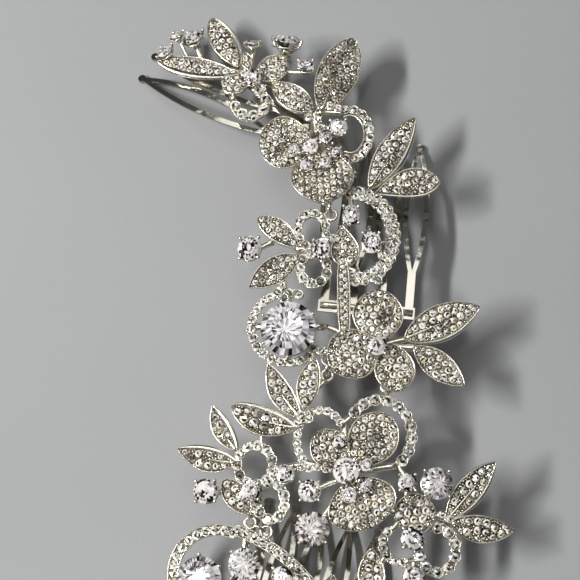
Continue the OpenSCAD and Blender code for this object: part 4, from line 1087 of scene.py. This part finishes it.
bar_z = bend_low + math.sqrt((BEND + STRIP) ** 2 - (spine_y - bend_top) ** 2) + BAR_GAP + BAR_RADIUS


def over_spine(comb, x):
    """The bar's point at x of a comb that is pitched about its tips, turned to its heading and set down."""
    pitch, turn = math.radians(comb.pitch), math.radians(comb.heading - 90)
    y = spine_y * math.cos(pitch) + bar_z * math.sin(pitch)
    z = bar_z * math.cos(pitch) - spine_y * math.sin(pitch)
    place = at_height(np.array(comb.u), np.array(comb.v), np.array(0.0))
    return place + [x * math.cos(turn) - y * math.sin(turn), x * math.sin(turn) + y * math.cos(turn), z]


def comb_bar(bag, name):
    """The bar, and its posts up into the casting."""
    comb = COMBS[name]
    half = (comb.tines - 1) * TINE_PITCH / 2 + 1
    left, right = over_spine(comb, -half), over_spine(comb, half)
    tube(bag, left + np.linspace(0, 1, 9)[:, None] * (right - left), BAR_RADIUS, sides=12)
    for x, u, v, lift in POSTS[name]:
        stem(bag, over_spine(comb, x), on_dome(u, v, lift), POST_RADIUS)


print("the bar's height over the comb's tips:", round(bar_z, 2), "mm")

# %% [markdown]
# ## The castings and flowers
#
# Now each casting is one bag of metal and one of stones. The stones of the pave are left out where a
# larger set stone stands over them, because a setter leaves the metal bare there.

# %% Build the castings
LEAF_SIZES = {"top": (1.8, 1.5, 1.2, 0.95), "middle": (1.95, 1.6, 1.25, 1.0), "lower": (2.1, 1.75, 1.4, 1.1),
              "end": (2.1, 1.7, 1.3, 1.0)}
PETAL_SIZES = {"top": (1.65, 1.4, 1.1), "middle": (1.95, 1.6, 1.25, 1.0), "lower": (1.85, 1.5, 1.2, 1.0)}
OWN_SIZES = {("middle", 7): (1.22, 0.9), ("middle", 2): (1.6, 1.3, 1.0), ("middle", 3): (1.6, 1.3, 1.0),
             ("lower", 2): (2.5, 2.0, 1.5, 1.15)}
# How much light the stones of a turned leaf catch, painted into the levels of their facets
SHADES = {("top", 1): 1.2, ("top", 2): 0.6, ("middle", 0): 1.25, ("middle", 1): 0.85, ("middle", 5): 1.2,
          ("middle", 7): 1.5, ("lower", 2): 1.15, ("lower", 3): 0.8, ("lower", 4): 1.15, ("lower", 7): 1.1,
          ("lower", 8): 1.35}
CASTING_DEPTH, PETAL_DEPTH, COVERED, RAIL_RADIUS = 1.5, 0.9, 0.42, 0.26
# Where the stems of the set stones begin, and each rivet's low end, high end and radius
CASTING_ROOT, PETAL_ROOT, CASTING_RIVET, PETAL_RIVET = 1.2, 3.6, (0.0, 2.4, 2.2), (2.5, 4.1, 2.0)


def stones_over(*names):
    """Girdle middles of the set stones of some castings, with the radius that hides the pave."""
    return [(stone_frame(stone)[0], COVERED * stone.width) for stone in STONES if stone.casting in names]


def settings(bag, name, root_lift):
    """The settings of all set stones of a casting or flower."""
    for stone in STONES:
        if stone.casting == name:
            setting(bag, stone, root_lift)


def riveted(bag, name, low, high, radius):
    """A short round post under a flower's middle, from one lift to another."""
    foot = on_dome(*RIVETS[name], 0.0)
    heights = np.array([low, low + 0.3 * (high - low), high])
    tube(bag, foot + heights[:, None] * dome_normal(foot), radius * np.array([1, 1, 0.92]), sides=20)


for name in LEAVES:
    body, stones = Bag(), Bag()
    cover = stones_over(name, "flower_" + name)
    count = 0
    for k, row in enumerate(LEAVES[name]):
        look = {"walls": WALLS.get(name, {}).get(k, (0, 0)), "rib": RIBS.get(name, {}).get(k, 0.0)}
        blade(body, row, CASTING_DEPTH, **look)
        count += set_pave(body, stones, row, OWN_SIZES.get((name, k), LEAF_SIZES[name]), cover,
                          shade=SHADES.get((name, k), 1.0), **look)
    for row in SCROLLS[name]:
        count += scroll(body, stones, row, cover, name == "end")
    for radius_u, radius_v, k in INNER_RAILS.get(name, []):
        row = SCROLLS[name][k]
        row = row._replace(radius_u=radius_u, radius_v=radius_v)
        tube(body, scroll_path(row, np.linspace(row.start, row.end, 40)), RAIL_RADIUS, sides=8)
    count += knots(body, stones, KNOTS.get(name, []))
    for u0, v0, w0, u1, v1, w1, r in STEMS[name]:
        stem(body, on_dome(u0, v0, w0), on_dome(u1, v1, w1), r)
    settings(body, name, CASTING_ROOT)
    for u, v in EYELETS[name]:
        eyelet(body, u, v)
    if name in RIVETS:
        riveted(body, name, *CASTING_RIVET)
    if name in COMBS:
        comb_bar(body, name)
    body.piece(f"casting_{name}", [silver], "plated_casting", f"spray_{name}")
    stones.piece(f"pave_{name}", [pave_glass, scroll_glass], "crystal")
    print(name, "small stones:", count)

# %% Build the riveted flowers
for name in PETALS:
    body, stones = Bag(), Bag()
    cover = stones_over("flower_" + name)
    count = 0
    for row in PETALS[name]:
        blade(body, row, PETAL_DEPTH)
        count += set_pave(body, stones, row, PETAL_SIZES[name], cover)
    settings(body, "flower_" + name, PETAL_ROOT)
    riveted(body, name, *PETAL_RIVET)
    body.piece(f"petals_{name}", [petal_silver], "plated_petal", f"flower_{name}")
    stones.piece(f"petal_pave_{name}", [pave_glass], "crystal")
    print(name, "petal stones:", count)

# %% [markdown]
# ## The larger cut stones
#
# A stone's sparkle is the picture of its own pavilion, folded over and over in the crown. Tracing that
# in real glass needs very many light paths, so the picture is made directly: table and crown are cut
# into bands of facets, each with its own level, under glass that is only part clear. The large stones
# have forty slim facets a band, white near the middle and with dark slivers towards the girdle. The
# small ones show a few large patches, light and dark, as a small stone does. The picture leans a
# little to one side, because a stone's culet never seems to lie under the very middle of the table.

# %% A brilliant cut
# Ring radius (share of the stone's radius), height (share of the crown) and turn (steps), and for the
# band that ends there: middle level, depth of the eight arrows, their turn (half arrows), scatter
LARGE_CUT = [(0.16, 1, 0, 1.0, 0.1, 0, 0.9), (0.36, 1, 0.5, 0.88, 0.25, 0, 0.9),
             (TABLE_SHARE, 1, 0, 0.77, 0.4, 1, 0.9), (0.78, 0.56, 0.5, 0.9, 0.4, 0, 0.9),
             (1.0, 0.1, 0, 0.77, 0.45, 1, 0.9)]
SMALL_CUT = [(0.3, 1, 0.5, 0.9, 0.0, 0, 2.4), (TABLE_SHARE, 1, 0, 0.8, 0.2, 1, 2.5),
             (0.79, 0.54, 0.5, 0.95, 0.15, 0, 2.4), (1.0, 0.1, 0, 0.92, 0.25, 1, 2.5)]
# The picture's lean to one side, and how much darker one side of it is painted
PICTURE_LEAN, DARK_SIDE = 0.16, 0.2
# Painted light of the pavilion's facets: level, a swing that lights one side and darkens the other, and
# scatter
BACK_LEVEL, BACK_SWING, BACK_SCATTER = 0.55, 0.45, 0.3


def brilliant(bag, stone):
    """Rings of points over table and crown, a girdle, and a pavilion of long facets to the culet.
    Painted facet level = middle - depth * cos(4 a)^4 - dark side * max(0, cos(a - own)) + scatter, a = angle.
    A small stone's facets go two and two, so that its picture has eight large patches."""
    place = stone_frame(stone)
    stretch = [1, stone.long, 1]
    cut, n, pair = (LARGE_CUT, 40, 1) if stone.width > LARGE_WIDTH else (SMALL_CUT, 16, 2)
    r, crown, pavilion = stone.width / 2, CROWN_SHARE * stone.width, PAVILION_SHARE * stone.width
    own = 2 * np.pi * float(RNG.random())
    lean = PICTURE_LEAN * r * np.array([math.cos(own), math.sin(own), 0])
    rings = [ring(n, row[0] * r, row[1] * crown, row[2]) + max(0, 1 - row[0] / TABLE_SHARE) * lean
             for row in cut]
    front = np.concatenate([[lean + [0, 0, crown]], *rings])
    back = np.concatenate([ring(n, r, -0.03 * r), ring(n, 0.45 * r, -0.6 * pavilion, 0.5),
                           [[0, 0, -pavilion]]])
    bands = [fan(n, 0, 1)]
    for k, row in enumerate(cut[1:]):
        bands.append(between(n, 1 + n * (k + 1), 1 + n * k, int(row[2] > 0)))
    faces = np.concatenate(bands)
    level, depth, turn, scatter = np.repeat([row[3:] for row in cut], [len(b) for b in bands], axis=0).T
    picks = np.repeat(RNG.random(len(faces) // pair), pair)
    spot = front[faces].mean(1) - lean * 0.5
    a = np.arctan2(spot[:, 1], spot[:, 0])
    arrows = depth * np.cos(4 * a + own + np.pi / 2 * turn) ** 4
    level = level - arrows - DARK_SIDE * np.clip(np.cos(a - own), 0, 1) + scatter * (picks - 0.5)
    number = (0.9 if stone.width > CENTRE_WIDTH else 0.65) + 0.1 * own / (2 * np.pi)
    bag.add(placed(front * stretch, place), faces, smooth=False, stone=number, facet=np.clip(level, 0, 1))
    girdle = np.concatenate([rings[-1], back[:n]])
    bag.add(placed(girdle * stretch, place), grid_faces(2, n)[:, ::-1], smooth=False, stone=number)
    sides = np.concatenate([between(n, 0, n)[:, ::-1], fan(n, 2 * n, n, flip=True)])
    a = np.arctan2(*back[sides].mean(1)[:, 1::-1].T)
    level = BACK_LEVEL + BACK_SWING * np.sign(np.cos(a)) + BACK_SCATTER * (RNG.random(len(a)) - 0.5)
    bag.add(placed(back * stretch, place), sides, kind=1, smooth=False, stone=number,
            facet=np.clip(level, 0, 1))


for i, stone in enumerate(STONES):
    bag = Bag()
    brilliant(bag, stone)
    node = "stone_centre" if i == CENTRE else f"stone_{i + 1:02d}"
    bag.piece("cut_" + node, [large_glass, foil], "crystal", node)

# %% [markdown]
# ## Combs, bindings and jump rings
#
# Their solids in the frame already have the right shape, so they stay as they are and only get their
# finish: a plain rolled strip for the combs, with painted shade darkening its colours, and a brighter
# drawn wire for the rings.

# %% Finish the carried-over solids
FINISHES = {"comb_": comb_shaded_silver, "binding_": wire_silver, "jump_ring_": wire_silver}
for name, node in nodes.items():
    for start, finish in FINISHES.items():
        if name.startswith(start):
            node.data.materials.clear()
            node.data.materials.append(finish)
print("combs and rings finished")

# %% [markdown]
# ## Floor, light and camera
#
# The floor is a plain pale grey sheet. A tall narrow window on the left, about fifty degrees up,
# throws the shadows to the right: their sides are sharp because the window is narrow, and their ends
# are soft because it is long. A card and a lamp overhead give the facets something bright to throw
# back, and the dim room between them keeps the contrast. The camera stands where the drawing's eye is.

# %% Floor
floor_mesh = bpy.data.meshes.new("floor")
floor_mesh.from_pydata([(-2, -2, 0), (2, -2, 0), (2, 2, 0), (-2, 2, 0)], [], [(0, 1, 2, 3)])
floor = bpy.data.objects.new("floor", floor_mesh)
bpy.context.scene.collection.objects.link(floor)
material, tree, shader = new_material("pale_floor")
mottled = maths(tree, "MULTIPLY_ADD", noise(tree, 1800.0, 2.0), 0.5, noise(tree, 9.0, 2.0))
tone = ramp(tree, mottled, (0.45, (0.278, 0.282, 0.286)), (1.05, (0.304, 0.308, 0.312)))
fill(tree, shader.inputs, {"Base Color": tone, "Roughness": 0.75})
floor_mesh.materials.append(material)

# %% Lights: place (m), size, length, power and colour
LIGHTS = {
    "window_left": ((-0.74, -0.07, 0.82), 0.08, 0.5, 16.3, (1.0, 0.995, 0.985)),
    "ceiling_card": ((-0.08, 0.24, 0.85), 0.5, 0.5, 1.5, (1, 1, 1)),
    "ceiling_lamp": ((-0.16, -0.07, 0.85), 0.06, 0.06, 0.45, (1.0, 0.98, 0.95)),
    "back_strip": ((0.25, 0.6, 0.5), 0.08, 0.5, 0.3, (1, 1, 1))}


def stand(name, data, place, x, z):
    """A light or camera at a place, with its picture's right along x and its back along z."""
    thing = bpy.data.objects.new(name, data)
    bpy.context.scene.collection.objects.link(thing)
    columns = np.stack([x, np.cross(z, x), z, place], 1)
    thing.matrix_world = Matrix(np.vstack([columns, [0, 0, 0, 1]]).tolist())
    return thing


for name, (place, size, length, power, colour) in LIGHTS.items():
    data = bpy.data.lights.new(name, "AREA")
    data.shape = "RECTANGLE"
    data.energy, data.color, data.size, data.size_y = power, colour, size, length
    facing = unit(np.array(place))
    stand(name, data, place, unit(np.cross([0, 1, 0.01], facing)), facing)
world = bpy.data.worlds.new("studio")
world.use_nodes = True
sky = world.node_tree
height = add(sky, "ShaderNodeSeparateXYZ", {0: add(sky, "ShaderNodeTexCoord")["Generated"]})["Z"]
glow = ramp(sky, height, (0.0, (0.03, 0.03, 0.03)), (0.35, (0.05, 0.05, 0.052)), (0.7, (0.10, 0.10, 0.104)),
            (1.0, (0.2, 0.2, 0.2)))
sky.links.new(glow, sky.nodes["Background"].inputs[0])
bpy.context.scene.world = world
bpy.context.scene.view_settings.view_transform = "Standard"

# %% Camera
data = bpy.data.cameras.new("camera")
data.sensor_width = 36
data.lens = 36 * EYE_DISTANCE / SHEET_WIDTH
data.clip_start = 0.01
eye = (EYE - MIDDLE) / 1000
back = np.array([0, -math.sin(LEAN), math.cos(LEAN)])
bpy.context.scene.camera = stand("camera", data, eye, np.array([1.0, 0, 0]), back)
print("camera at", eye.round(3))
